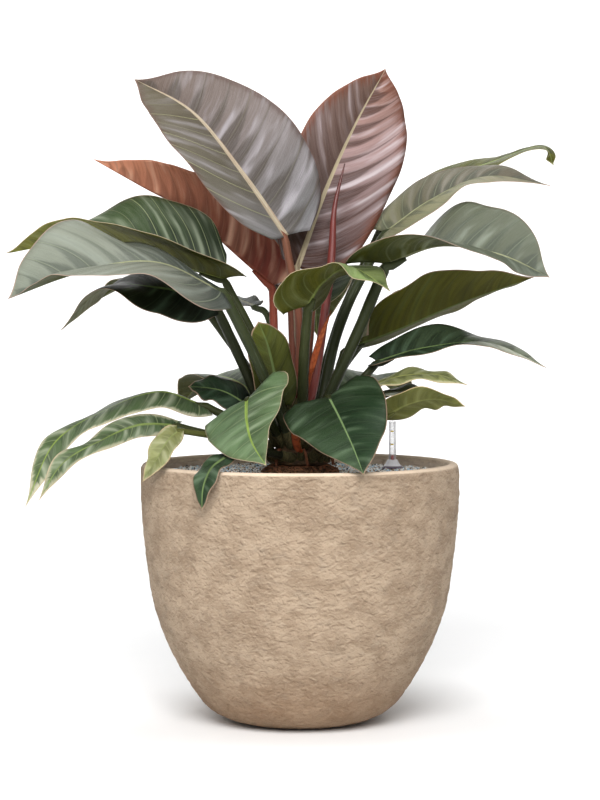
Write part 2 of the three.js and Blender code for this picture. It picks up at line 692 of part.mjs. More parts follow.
// The newest leaf narrows to a point over its upper half
function spike() {
  const path = evenly(11, (i) => curvePoint(SPIKE_WAY, i / 10));
  const radii = path.map((_, i) => SPIKE_RADIUS * (1 - 0.8 * clamp((i - 5) / 5) ** 1.3));
  return named('new_leaf_spike', barGeometry(path, radii, 8), material(0x6e2f2c, 0.4));
}

function boxSolid(x, y, z) {
  return wasm.Manifold.cube([x, y, z], true);
}

// The meter's pipe stands in the filling and lets water in through slots
function meterPipe() {
  const profile = [
    [0, PIPE_FOOT], [PIPE_OUTER, PIPE_FOOT], [PIPE_OUTER, PIPE_TOP],
    [PIPE_INNER, PIPE_TOP], [PIPE_INNER, PIPE_FLOOR], [0, PIPE_FLOOR],
  ];
  let solid = toSolid(turnedGeometry(profile, METER_SIDES));
  for (const turn of [6, 96]) {
    const slot = boxSolid(3 * PIPE_OUTER, 3, 40).rotate([0, 0, turn]);
    solid = solid.subtract(slot.translate([0, 0, PIPE_FLOOR + 30]));
  }
  const finish = material(0x54565a, 0.5);
  return named('meter_pipe', fromSolid(solid).translate(METER_X, METER_Y, 0), finish);
}

// The flared cap on the pipe, with a hole for the float's rod
function meterCap() {
  const profile = [
    [PIPE_INNER - 0.6, CAP_FOOT], [CAP_RADIUS, CAP_FOOT], [CAP_RADIUS - 0.3, CAP_FOOT + 1.6],
    [7, CAP_TOP - 1.5], [6.6, CAP_TOP], [TUBE_INNER, CAP_TOP], [TUBE_INNER, CAP_TOP - 3],
    [PIPE_INNER - 2, CAP_FOOT + 2],
  ];
  const geometry = turnedGeometry(profile, METER_SIDES, { closed: true });
  return named('meter_cap', geometry.translate(METER_X, METER_Y, 0), material(0x8d8a9a, 0.45));
}

// The clear tube over the rod, closed at its top
function meterTube() {
  const ceiling = TUBE_TOP - 1.4;
  const profile = [
    [0, ceiling], [TUBE_INNER, ceiling], [TUBE_INNER, CAP_TOP + GAP], [TUBE_OUTER, CAP_TOP + GAP],
    [TUBE_OUTER, TUBE_TOP - 1], [TUBE_OUTER - 1, TUBE_TOP], [0, TUBE_TOP],
  ];
  const clear = material(0xdfe6e8, 0.08, { transparent: true, opacity: 0.35 });
  const geometry = turnedGeometry(profile, METER_SIDES);
  return named('meter_tube', geometry.translate(METER_X, METER_Y, 0), clear);
}

// The float stands on the pipe's floor while the water is low; its rod ends in a red tip
function meterFloat() {
  const foot = PIPE_FLOOR + GAP;
  const profile = [
    [0, foot], [6, foot], [7, foot + 2], [7, foot + 48], [2, foot + 50], [1.1, foot + 52],
    [1.1, FLOAT_TIP - 6.1], [2.4, FLOAT_TIP - 5.4], [2.4, FLOAT_TIP - 0.6], [0, FLOAT_TIP],
  ];
  const geometry = turnedGeometry(profile, 12);
  return named('meter_float', geometry.translate(METER_X, METER_Y, 0), material(0xb03a22, 0.5));
}

const plant = new THREE.Group();
plant.name = 'potted_philodendron';
plant.add(pot(), filling(), mound(), stem(), spike());
for (const leaf of [...LEAVES, ...SHEATHS]) plant.add(leafMesh(leaf));
plant.add(meterPipe(), meterCap(), meterTube(), meterFloat());

export default plant;
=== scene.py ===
import math

import bpy
import numpy as np
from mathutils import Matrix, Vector, noise


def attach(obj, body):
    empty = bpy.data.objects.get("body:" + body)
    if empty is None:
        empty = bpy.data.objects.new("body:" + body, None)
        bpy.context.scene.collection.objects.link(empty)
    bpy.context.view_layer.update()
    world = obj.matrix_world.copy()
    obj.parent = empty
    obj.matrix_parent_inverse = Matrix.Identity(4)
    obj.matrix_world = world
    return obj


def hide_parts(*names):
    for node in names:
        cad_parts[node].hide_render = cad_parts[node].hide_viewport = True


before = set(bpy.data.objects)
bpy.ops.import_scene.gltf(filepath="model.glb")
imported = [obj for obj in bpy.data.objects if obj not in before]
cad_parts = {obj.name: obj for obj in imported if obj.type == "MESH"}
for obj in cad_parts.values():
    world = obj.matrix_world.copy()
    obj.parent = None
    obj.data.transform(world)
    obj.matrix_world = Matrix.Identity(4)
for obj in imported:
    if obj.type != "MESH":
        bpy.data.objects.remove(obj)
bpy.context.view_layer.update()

MM = 0.001
BODY = "planter"

# Lengths are in millimetres, as in the solids. Pot, as half profiles up the outside and down the inside
POT_OUTER = [(0, 0), (70, 0), (85, 3), (100, 8), (117, 18), (129, 32), (148.5, 62), (165, 92.5),
             (177, 123), (186, 153), (194, 205), (200, 265), (201, 304),
             (200.5, 320), (197, 326), (189, 326)]
POT_INNER = [(185.5, 322), (185, 304), (181, 230), (171, 153), (149, 93), (118, 45), (80, 24), (0, 22)]

# Filling, soil mound and crown. Each ring of sockets has its reach and its height
GRAVEL_TOP = 313
GRAVEL_OUTER = 184
MOUND_RADIUS = 50
MOUND_TOP = 321
STEM_RADIUS = 30
STEM_FOOT = 296
RINGS = dict(low=(36, 334), mid=(29, 352), high=(21, 371), top=(13, 389))

# Leaves, of which those narrower than SMALL_BLADE have a coarser grid, and the rolled newest one
BLADE_THICKNESS = 0.9
SMALL_BLADE = 65
SPIKE_RADIUS = 6
SPIKE_WAY = [(7, -9, 391), (17, -14, 420), (28, -15, 490), (39, -11, 578), (43, -8, 644), (56, -4, 701)]

# Water meter
METER_X, METER_Y = 119.5, 80
CAP_FOOT, CAP_TOP, CAP_RADIUS, CAP_BORE = 312.6, 324, 13.5, 8.4
TUBE_INNER, TUBE_OUTER, TUBE_TOP = 3.7, 4.7, 374
MARK_HEIGHTS = (344, 361)

# Camera, in metres and degrees
CAMERA_DISTANCE = 3.0
CAMERA_HEIGHT = 0.5335
CAMERA_TILT = 2.461
CAMERA_LENS = 107.31


# One leaf as in the solids, with its socket ring and its turn round the stem in degrees.
# stalk, rib: points that the stalk and the midrib pass through; face: the way the upper face looks
# along the blade; fold: how far the right and the left half rise from flat along it, in degrees.
# base: fullness where the blade starts; left: width of the left half over the right one;
# lobe, swell: how far the edges reach back at the base and forward in the middle, as shares of the
# length, in one number or in two for the right and the left half;
# wave: height, count and start of the waves along the edges; neck, foot: radii of the stalk
def blade(name, ring, turn, width, look, stalk=(), **form):
    return dict(name=name, ring=ring, turn=turn, width=width, look=look, stalk=stalk, **form)


LEAVES = [
    blade("leaf_01", "top", -140, 179, "bronze", lobe=[0.07, -0.04], swell=[-0.05, 0.11],
          stalk=[[0, -22, 493]],
          rib=[[-19, -35, 609], [-74, -45, 689], [-133, -52, 761], [-204, -50, 802]],
          face=[[0.4, -0.84, 0.38]], fold=[[18, 42, 32, 36], [37, 35, 31, 28]]),
    blade("leaf_02", "top", 20, 172, "bronze", left=0.84, lobe=[0.06, 0], swell=[0.18, 0.1],
          stalk=[[-1, 6, 480]], rib=[[-4, 14, 573], [31, 26, 668], [68, 34, 750], [108, 36, 823]],
          face=[[0.28, -0.95, -0.13]], fold=[[14, -8], [30, 34]]),
    blade("leaf_03", "high", 168, 130, "red", stalk=[[-31, 17, 467]],
          rib=[[-35, 52, 548], [-86, 54, 593], [-141, 53, 642], [-201, 47, 675], [-262, 42, 709]],
          face=[[0.57, 0, 0.82]], fold=[[25, 20], [70, 62]]),
    blade("leaf_04", "high", -158, 180, "green", lobe=[-0.03, 0.14], stalk=[[-50, -10, 467]],
          rib=[[-95, -14, 556], [-181, -16, 582], [-277, -16, 602], [-367, -18, 589]],
          face=[[0, -0.1, 1]], fold=[[75, 66, 25, 0], [34, 32, 40, 45]]),
    blade("leaf_05", "mid", -112, 165, "grey", swell=0.13, neck=7, foot=6.5,
          stalk=[[-32, -58, 405], [-58, -96, 468]],
          rib=[[-94, -124, 541], [-173, -148, 575], [-262, -155, 563], [-348, -156, 532]],
          face=[[0, -0.5, 0.86]], fold=[[-15, -3, 55, 60], [8, 26, 44, 44]]),
    blade("leaf_06", "mid", -168, 95, "dark", neck=6, stalk=[[-79, -42, 468]],
          rib=[[-108, -50, 530], [-172, -62, 545], [-240, -75, 545], [-293, -80, 493]],
          face=[[0, -0.77, 0.64], [0, -0.6, 0.8], [0, 0.15, 1], [0, 0.2, 1]], fold=[[-5, 5], [0, 5]]),
    blade("leaf_07", "high", -35, 178, "grey", lobe=[0.34, 0.2], swell=[0.07, -0.02], wave=[0, 1, 0],
          neck=7, stalk=[[64, -52, 474]],
          rib=[[106, -62, 574], [172, -66, 597], [245, -74, 585], [305, -84, 558]],
          face=[[-0.25, 0.34, 0.9], [0, -0.3, 0.95], [0.2, -0.67, 0.7]],
          fold=[[20, 28], [22, 16, 36, 46, 50]]),
    blade("leaf_08", "high", -82, 146, "green", lobe=[0.24, 0.12], neck=6, stalk=[[5, -72, 458]],
          rib=[[10, -90, 522], [27, -94, 551], [61, -102, 570], [109, -120, 541]],
          face=[[-0.4, 0.75, 0.53], [-0.3, 0.6, 0.7], [0.4, -0.3, 0.8]],
          fold=[[10, -4, -20, -8, 30], [50, 30]]),
    blade("leaf_09", "mid", -8, 130, "dark", base=0.01, lobe=[-0.14, 0.03], swell=0.1,
          stalk=[[44, -2, 425]], rib=[[56, 8, 467], [126, 4, 494], [202, 0, 527], [293, -8, 559]],
          face=[[-0.3, 0.62, 0.72]], fold=[[22, 20], [40, 42]]),
    blade("leaf_10", "mid", -38, 84, "dark", stalk=[[56, -45, 406]],
          rib=[[96, -30, 453], [154, -40, 470], [233, -50, 477], [304, -58, 447]], face=[[0, -0.6, 0.8]],
          fold=[[42, 40], [8, 12, -18, 0]]),
    blade("leaf_11", "low", -28, 50, "pale", neck=4, stalk=[[58, -36, 380]],
          rib=[[90, -76, 425], [123, -88, 437], [167, -96, 439], [204, -100, 427]],
          face=[[0, -0.3, 0.95]], fold=[[12, 5], [12, 5]]),
    blade("leaf_12", "low", -47, 40, "grey", neck=4, stalk=[[50, -52, 372]],
          rib=[[102, -80, 415], [129, -84, 419], [153, -88, 418], [178, -92, 401]],
          face=[[0, -0.3, 0.95]], fold=[[12, 5], [12, 5]]),
    blade("leaf_13", "low", -66, 60, "pale", neck=4, stalk=[[42, -70, 362]],
          rib=[[105, -94, 389], [134, -106, 405], [166, -116, 411], [200, -122, 402]],
          face=[[0, 0.5, 0.87]], fold=[[15, 10], [15, 10]]),
    blade("leaf_14", "mid", -80, 124, "dark", base=0.6, lobe=[0.1, 0.12], swell=[-0.08, 0.05],
          stalk=[[22, -70, 382]],
          rib=[[35, -105, 413], [49, -140, 386], [63, -175, 356], [75, -208, 325]],
          face=[[-0.16, -0.6, 0.67]], fold=[[5, 12], [18, 24]]),
    blade("leaf_15", "mid", -140, 118, "green", base=0.6, lobe=[-0.06, 0.3], swell=[-0.06, -0.1],
          stalk=[[-47, -65, 395]],
          rib=[[-65, -90, 409], [-64, -125, 385], [-57, -160, 360], [-40, -190, 335]],
          face=[[-0.42, -0.58, 0.64]], fold=[[5, 12], [15, 20]]),
    blade("leaf_16", "low", -168, 66, "green", wave=[3, 2.5, 0.2], stalk=[[-68, -35, 371]],
          rib=[[-120, -40, 400], [-176, -52, 417], [-243, -64, 393], [-302, -74, 354], [-337, -80, 277]],
          face=[[0, -0.39, 0.92]], fold=[[-16, -16, -16, 12, 10], [-12, -8, 18, -16, -20]]),
    blade("leaf_17", "low", -148, 36, "green", wave=[3, 3, 0], neck=4, stalk=[[-86, -60, 357]],
          rib=[[-152, -84, 377], [-197, -98, 378], [-241, -112, 360], [-287, -122, 333], [-316, -126, 288]],
          face=[[0.2, -0.6, 0.8]], fold=[[10, 25, -15, 25, 10], [10, -15, 25, -10, 10]]),
    blade("leaf_18", "low", -129, 32, "pale", neck=3.5, stalk=[[-90, -75, 360]],
          rib=[[-148, -110, 372], [-161, -118, 359], [-174, -121, 337], [-192, -100, 309]],
          face=[[-0.3, -0.9, 0.1]], fold=[[20, 20], [20, 20]]),
    blade("leaf_19", "low", -108, 36, "dark", base=0.2, neck=4, stalk=[[-64, -92, 349]],
          rib=[[-88, -140, 342], [-105, -164, 330], [-114, -184, 309], [-116, -188, 281]],
          face=[[-0.5, -0.8, 0.3]], fold=[[15, 15], [15, 15]]),
    blade("leaf_20", "low", 172, 52, "dark", base=0.3, swell=0.15,
          rib=[[-71, -15, 402], [-94, -15, 415], [-116, -15, 420], [-140, -15, 422]],
          face=[[0, -0.6, 0.8]], fold=[[10, 10], [10, 10]]),
    blade("leaf_21", "high", 128, 42, "grey", neck=4, stalk=[[-38, 50, 500]],
          rib=[[-59, 70, 522], [-70, 95, 526], [-81, 120, 531], [-94, 145, 536]], face=[[0, -0.3, 0.95]],
          fold=[[20, 10], [20, 10]]),
    blade("leaf_22", "high", -120, 62, "dark", base=0.2, swell=0.15,
          rib=[[-24, -38, 400], [-31, -41, 436], [-40, -43, 474], [-52, -42, 504]],
          face=[[-0.5, 0.85, 0.1]], fold=[[15, 10], [15, 10]]),
    blade("leaf_23", "high", 10, 92, "grey", neck=6, stalk=[[51, 30, 500]],
          rib=[[108, 46, 616], [168, 42, 658], [236, 26, 686], [315, 6, 674]], face=[[0, -0.44, 0.9]],
          fold=[[20, 24], [26, 5]]),
    blade("leaf_24", "high", 48, 80, "green", wave=[6, 2, 0.1], neck=6, stalk=[[50, 48, 500]],
          rib=[[108, 90, 627], [165, 102, 682], [240, 110, 706], [312, 112, 729], [330, 112, 705]],
          face=[[0, -0.2, 0.98]], fold=[[5, 10], [5, 10]]),
    blade("leaf_25", "top", 75, 118, "bronze", stalk=[[12, 30, 480]],
          rib=[[20, 52, 590], [30, 90, 650], [42, 125, 710], [56, 150, 765]], face=[[-0.2, -0.75, 0.6]],
          fold=[[20, 20], [20, 20]]),
    blade("leaf_26", "top", 130, 112, "bronze", stalk=[[-9, 42, 480]],
          rib=[[-16, 78, 600], [-32, 108, 652], [-56, 142, 704], [-88, 172, 750]],
          face=[[0.3, -0.7, 0.6]], fold=[[20, 20], [20, 20]]),
    blade("leaf_27", "high", 88, 130, "green", stalk=[[6, 50, 440]],
          rib=[[8, 85, 525], [12, 160, 565], [18, 240, 550], [24, 310, 480]],
          face=[[0, -0.2, 1], [0, 0.3, 1]], fold=[[20, 15], [20, 15]]),
    blade("leaf_28", "mid", 122, 100, "green", stalk=[[-40, 45, 375]],
          rib=[[-52, 68, 400], [-88, 120, 425], [-125, 175, 425], [-165, 225, 385]],
          face=[[0, -0.2, 1], [-0.2, 0.3, 1]], fold=[[20, 15], [20, 15]]),
    blade("leaf_29", "mid", 58, 95, "green", stalk=[[28, 58, 375]],
          rib=[[46, 94, 402], [80, 140, 425], [116, 185, 425], [150, 228, 392]],
          face=[[0, -0.1, 1], [0.2, 0.2, 1]], fold=[[20, 15], [20, 15]]),
    blade("leaf_30", "mid", 90, 100, "dark", stalk=[[-2, 50, 370]],
          rib=[[-16, 78, 386], [-22, 130, 402], [-30, 185, 395], [-40, 240, 352]],
          face=[[0, -0.1, 1], [0, 0.3, 1]], fold=[[20, 15], [20, 15]]),
    blade("leaf_31", "mid", 28, 70, "green", stalk=[[48, 72, 430]],
          rib=[[100, 108, 500], [136, 118, 530], [176, 130, 540], [212, 146, 528]],
          face=[[0, -0.1, 1], [0.2, 0.1, 1]], fold=[[20, 15], [20, 15]]),
    blade("leaf_32", "mid", 152, 95, "green", stalk=[[-66, 62, 440]],
          rib=[[-122, 62, 520], [-168, 78, 552], [-222, 96, 554], [-278, 110, 520]],
          face=[[0, -0.1, 1], [-0.2, 0.1, 1]], fold=[[20, 15], [20, 15]]),
]

SHEATHS = [
    blade("sheath_01", "top", -92, 9, "sheath", base=0.3, lobe=0, wave=[0, 1, 0], neck=2.4, foot=2.4,
          stalk=[[9, -28, 420]], rib=[[14, -35, 442], [21, -37, 468], [29, -38, 492], [39, -38, 518]],
          face=[[-0.2, -0.9, 0.3]], fold=[[20, 20], [20, 20]]),
    blade("sheath_02", "low", -88, 16, "sheath", base=0.3, lobe=0, wave=[0, 1, 0], neck=3, foot=3,
          stalk=[[1, -46, 340]], rib=[[1, -52, 344], [-2, -58, 356], [-5, -62, 368], [-8, -65, 380]],
          face=[[0, -0.6, 0.8]], fold=[[-20, -20], [-20, -20]]),
]

# What each kind of blade looks like, colours as sRGB 0 to 255.
# up: upper face at the base, middle and tip; other: the left half's own tint; light: painted sheen;
# crease: painted shade in the creases and streaks of the blade, also the leaf's own dark flecks and
# stalk streaks; vein, rib, edge: lateral veins, midrib and margin; rim: tint by the margin;
# low: back of the blade; stalk: at its foot and neck; pleat: depth and spacing of the folds in mm;
# band: width and share of the rim's tint.
# Shares of painted sheen, painted shade streaks and veins are one number, or a pair for the left and the
# right half
SKINS = dict(
    bronze=dict(
        up=[(116, 115, 116), (106, 96, 92), (92, 77, 67)], other=(86, 82, 64), light=(174, 169, 174),
        crease_shade=(60, 52, 42), vein=(154, 154, 116), rib=(176, 165, 142), edge=(120, 92, 82),
        rim=(76, 54, 48), low=[(88, 46, 36), (116, 64, 46)], stalk=[(98, 44, 32), (124, 80, 62)],
        pleat=(1.3, 31), rib_width=5.2, band=(13, 0.5), painted_sheen=(0.4, 0.8), dark=(0.25, 0.7),
        veins=(0.75, 0.08)),
    red=dict(
        up=[(94, 40, 28), (154, 86, 62), (196, 130, 100)], other=(150, 82, 60), light=(226, 184, 160),
        crease_shade=(58, 26, 18), vein=(216, 170, 144), rib=(136, 76, 56), edge=(176, 124, 98),
        rim=(150, 80, 54), low=[(112, 50, 38), (206, 138, 108)], stalk=[(98, 42, 32), (132, 66, 50)],
        pleat=(1.2, 21), rib_width=3.4, band=(13, 0.4), painted_sheen=0.75, dark=(0.7, 0.6), veins=0.2,
        back_painted_sheen=0.8),
    green=dict(
        up=[(50, 66, 40), (76, 94, 60), (84, 102, 64)], other=(72, 90, 58), light=(156, 168, 138),
        crease_shade=(28, 40, 22), vein=(158, 170, 124), rib=(148, 164, 92), edge=(190, 170, 142),
        rim=(84, 92, 58), low=[(54, 56, 16), (66, 68, 22)], stalk=[(36, 38, 20), (52, 56, 28)],
        pleat=(1.0, 25), rib_width=3.2, band=(13, 0.4), painted_sheen=0.5, dark=0.55, veins=0.35),
    grey=dict(
        up=[(44, 52, 48), (92, 101, 92), (108, 117, 106)], other=(90, 99, 90), light=(144, 152, 142),
        crease_shade=(48, 56, 48), vein=(152, 160, 132), rib=(158, 160, 124), edge=(168, 142, 128),
        rim=(102, 102, 88), low=[(48, 50, 12), (62, 66, 20)], stalk=[(38, 42, 22), (50, 56, 30)],
        pleat=(1.0, 27), rib_width=3.4, band=(12, 0.4), painted_sheen=0.5, dark=0.5, veins=0.3),
    dark=dict(
        up=[(14, 24, 14), (28, 46, 28), (44, 64, 40)], other=(24, 42, 24), light=(92, 114, 92),
        crease_shade=(10, 16, 10), vein=(76, 98, 66), rib=(108, 130, 80), edge=(160, 132, 112),
        rim=(40, 50, 30), low=[(58, 60, 18), (74, 76, 28)], stalk=[(32, 34, 20), (44, 48, 26)],
        pleat=(1.0, 25), rib_width=2.4, band=(10, 0.4), painted_sheen=0.5, dark=0.5, veins=0.2),
    pale=dict(
        up=[(102, 104, 58), (128, 132, 84), (134, 138, 84)], other=(112, 116, 72), light=(190, 190, 158),
        crease_shade=(62, 68, 34), vein=(172, 174, 124), rib=(160, 164, 98), edge=(186, 162, 126),
        rim=(112, 108, 66), low=[(90, 92, 42), (106, 108, 56)], stalk=[(48, 46, 22), (84, 86, 42)],
        pleat=(0.7, 17), rib_width=1.8, band=(5, 0.4), painted_sheen=0.7, dark=0.6, veins=0.2),
    sheath=dict(
        up=[(158, 74, 38), (172, 86, 46), (182, 104, 60)], other=(156, 72, 36), light=(190, 116, 74),
        crease_shade=(80, 32, 16), vein=(140, 68, 36), rib=(150, 74, 38), edge=(104, 48, 26), rim=(130, 60, 34),
        low=[(136, 62, 32), (160, 80, 44)], stalk=[(104, 42, 26), (150, 70, 36)], pleat=(0.3, 9),
        rib_width=0.8, band=(3, 0.4), painted_sheen=0.5, dark=0.5, veins=0),
)

# What single leaves have of their own, over the skin of their kind
OWN = dict(
    leaf_02=dict(
        up=[(54, 30, 22), (158, 132, 130), (146, 106, 90)], other=(80, 62, 50), light=(216, 204, 208),
        crease_shade=(62, 36, 26), vein=(124, 90, 76), rib=(180, 166, 138), edge=(136, 90, 72),
        rim=(112, 66, 50), low=[(80, 38, 28), (110, 58, 42)], stalk=[(84, 36, 28), (158, 144, 118)],
        pleat=(1.8, 27), rib_width=4.4, band=(22, 0.85), painted_sheen=(0.35, 0.8), dark=(0.35, 0.75), veins=0.1),
    leaf_04=dict(
        up=[(34, 46, 26), (56, 72, 42), (66, 82, 50)], low=[(74, 74, 10), (118, 118, 46)], veins=0.5,
        painted_sheen=0.6, dark=0.8, light=(158, 168, 144), crease_shade=(30, 40, 26)),
    # leaf_05 is dark at its base with a painted shadow, where leaf_04 hangs over it
    leaf_05=dict(up=[(34, 40, 40), (119, 123, 110), (126, 132, 118)], other=(116, 119, 105), painted_sheen=0.35),
    leaf_06=dict(
        up=[(14, 18, 10), (24, 28, 16), (150, 150, 124)], other=(24, 28, 16),
        low=[(26, 28, 12), (120, 120, 92)]),
    leaf_07=dict(
        up=[(34, 36, 20), (72, 78, 60), (98, 104, 92)], other=(84, 88, 72), light=(138, 146, 132),
        low=[(56, 58, 2), (66, 68, 4)], back_painted_sheen=0.4),
    leaf_08=dict(
        up=[(80, 86, 44), (100, 112, 66), (140, 162, 100)], other=(96, 104, 62),
        low=[(66, 66, 8), (90, 90, 18)]),
    leaf_09=dict(up=[(134, 132, 106)] * 3, other=(172, 168, 146), low=[(62, 62, 6), (76, 74, 16)]),
    leaf_10=dict(up=[(16, 28, 16), (34, 48, 30), (222, 224, 200)], other=(56, 68, 48)),
    leaf_11=dict(rim=(190, 184, 150), band=(6, 0.7), painted_sheen=0.4),
    leaf_12=dict(
        up=[(140, 148, 126), (160, 166, 146), (150, 156, 130)], low=[(140, 146, 120), (164, 168, 146)]),
    leaf_13=dict(rim=(186, 180, 142), band=(6, 0.6), painted_sheen=0.4),
    leaf_14=dict(
        up=[(28, 42, 22), (36, 54, 30), (46, 66, 40)], light=(102, 122, 94), rib=(112, 136, 88),
        rib_width=1.1, painted_sheen=0.45, dark=0.3),
    leaf_15=dict(
        up=[(82, 104, 70), (92, 114, 80), (90, 110, 76)], light=(162, 176, 146), rib=(140, 164, 76),
        rib_width=2.2, dark=0.35),
    leaf_16=dict(
        light=(184, 188, 164), painted_sheen=(0.6, 0.5), dark=(0.45, 0.4), rib=(130, 150, 72), rib_width=2,
        rim=(186, 182, 156), band=(7, 0.8)),
    leaf_17=dict(
        light=(184, 188, 166), painted_sheen=(0.65, 0.6), dark=(0.5, 0.45), rib=(118, 136, 74), rib_width=1.6,
        rim=(170, 166, 140), band=(6, 0.7)),
    leaf_18=dict(dark=0.3, painted_sheen=0.4, rib=(124, 132, 80), rib_width=1, rim=(184, 180, 150)),
    leaf_19=dict(up=[(42, 60, 36), (52, 74, 48), (42, 62, 38)], light=(112, 130, 106), painted_sheen=0.7),
    leaf_20=dict(rib_width=1.2),
    leaf_22=dict(low=[(46, 50, 14), (78, 82, 26)]),
    leaf_23=dict(
        up=[(112, 112, 82), (134, 132, 104), (122, 114, 94)], other=(72, 66, 58), light=(138, 134, 124),
        rib_width=1.2, painted_sheen=(0.4, 0.3), dark=0.5, low=[(126, 126, 92), (140, 136, 104)]),
    leaf_24=dict(
        up=[(56, 58, 14), (70, 72, 20), (84, 86, 28)], other=(70, 72, 20), painted_sheen=0.3,
        light=(124, 124, 66), rim=(88, 88, 36), edge=(150, 142, 98), low=[(84, 84, 24), (98, 98, 34)]),
)


def skin_of(leaf):
    return {**SKINS[leaf["look"]], **OWN.get(leaf["name"], {})}


# Vectors and curves
def unit(a):
    return a / np.linalg.norm(a, axis=-1, keepdims=True)


def smooth(x):
    x = np.clip(x, 0, 1)
    return x * x * (3 - 2 * x)


def full_turn(sides):
    return 2 * np.pi * np.arange(sides) / sides


def polar(r, turn, z):
    return (r * math.cos(turn), r * math.sin(turn), z)


# A smooth curve through points, with t from 0 to 1
def curve(points, t):
    p = np.array(points, float)
    p = np.vstack([2 * p[0] - p[1], p, 2 * p[-1] - p[-2]])
    last = len(points) - 1
    s = np.clip(np.asarray(t, float), 0, 1) * last
    i = np.minimum(np.floor(s).astype(int), last - 1)
    f = (s - i)[..., None]
    a, b, c, d = p[i], p[i + 1], p[i + 2], p[i + 3]
    return 0.5 * (2 * b + (c - a) * f + (2 * a - 5 * b + 4 * c - d) * f ** 2
                  + (3 * b - 3 * c + d - a) * f ** 3)


# Values at even places from 0 to 1, eased from each to the next
def eased(values, t):
    values = np.array(values, float)
    last = len(values) - 1
    if last == 0:
        return np.broadcast_to(values[0], np.shape(t) + values[0].shape)
    s = np.clip(t, 0, 1) * last
    i = np.minimum(np.floor(s).astype(int), last - 1)
    f = smooth(s - i)
    if values.ndim == 2:
        f = f[..., None]
    return values[i] * (1 - f) + values[i + 1] * f


def gaps(path):
    return np.linalg.norm(np.diff(path, axis=0), axis=1)


def travelled(path):
    return np.concatenate([[0], np.cumsum(gaps(path))])


def curve_length(points):
    return gaps(curve(points, np.linspace(0, 1, 61))).sum()


# Half width of a blade as a share of its widest, from base to tip
def outline(base, t):
    def raw(s):
        return (s + base) ** 0.5 * np.clip(1 - s ** 1.6, 0, 1) ** 1.1

    widest = raw(np.linspace(0, 1, 201)).max()
    return raw(t) / widest * (1 - 0.3 * smooth((t - 0.84) / 0.16))


# Middle surface of a blade on a grid of t, base to tip, and v, left to right edge
def blade_surface(leaf, t, v, length):
    def by_half(left, right):
        return np.where(v < 0, left, right)

    lobes = np.atleast_1d(leaf.get("lobe", 0.07))
    swells = np.atleast_1d(leaf.get("swell", 0.05))
    height, count, start = leaf.get("wave", [3, 2.5, 0])
    centre = curve(leaf["rib"], t)
    along = unit(curve(leaf["rib"], t + 0.001) - curve(leaf["rib"], t - 0.001))
    looks = unit(eased(leaf["face"], t))
    normal = unit(looks - along * (looks * along).sum(1, keepdims=True))
    side = np.cross(along, normal)
    half = leaf["width"] / 2 * outline(leaf.get("base", 0.07), t)
    right, left = (eased(fold, t)[:, None] for fold in leaf["fold"])
    up, out = t[:, None], np.abs(v)

    angle = np.radians(by_half(left, right) - 10 * out)
    fade = np.sin(np.pi * (up * 0.92 + 0.08))
    phase = count * up + start + by_half(0.37, 0)
    wave = height * np.sin(2 * np.pi * phase) * out * out * fade
    corner = 0.3 * (1 - np.clip(up / 0.12, 0, 1)) ** 2 * out ** 4
    reach = half[:, None] * out * (1 - corner) * by_half(leaf.get("left", 1), 1)
    lobe = by_half(lobes[-1], lobes[0])
    back = (lobe - 1.2 * corner * np.maximum(lobe, 0)) * (1 - up) ** 5 * out ** 1.3
    forward = by_half(swells[-1], swells[0]) * np.sin(np.pi * up) * out ** 1.5
    shift = length * (forward - back)
    across = np.sign(v) * np.cos(angle) * reach
    lift = np.sin(angle) * reach + wave
    points = (centre[:, None] + side[:, None] * across[..., None]
              + normal[:, None] * lift[..., None] + along[:, None] * shift[..., None])
    return points, half[:, None]


# The tip row is one point, so it takes the normals of the row before it
def surface_normals(points):
    normals = np.cross(np.gradient(points, axis=1), np.gradient(points, axis=0))
    normals[-1] = normals[-2]
    return unit(normals)


def grid_faces(rows, columns, flip=False, wrap=False):
    i, j = np.meshgrid(np.arange(rows - 1), np.arange(columns if wrap else columns - 1), indexing="ij")
    n = (j + 1) % columns
    quads = np.stack([i * columns + j, i * columns + n, (i + 1) * columns + n, (i + 1) * columns + j], -1)
    quads = quads.reshape(-1, 4)
    return quads[:, ::-1] if flip else quads


# Three grids of values as one list of vectors
def triples(*grids):
    return np.stack(np.broadcast_arrays(*grids), -1).reshape(-1, 3)


def in_scene(name, data):
    made = bpy.data.objects.new(name, data)
    bpy.context.scene.collection.objects.link(made)
    return made


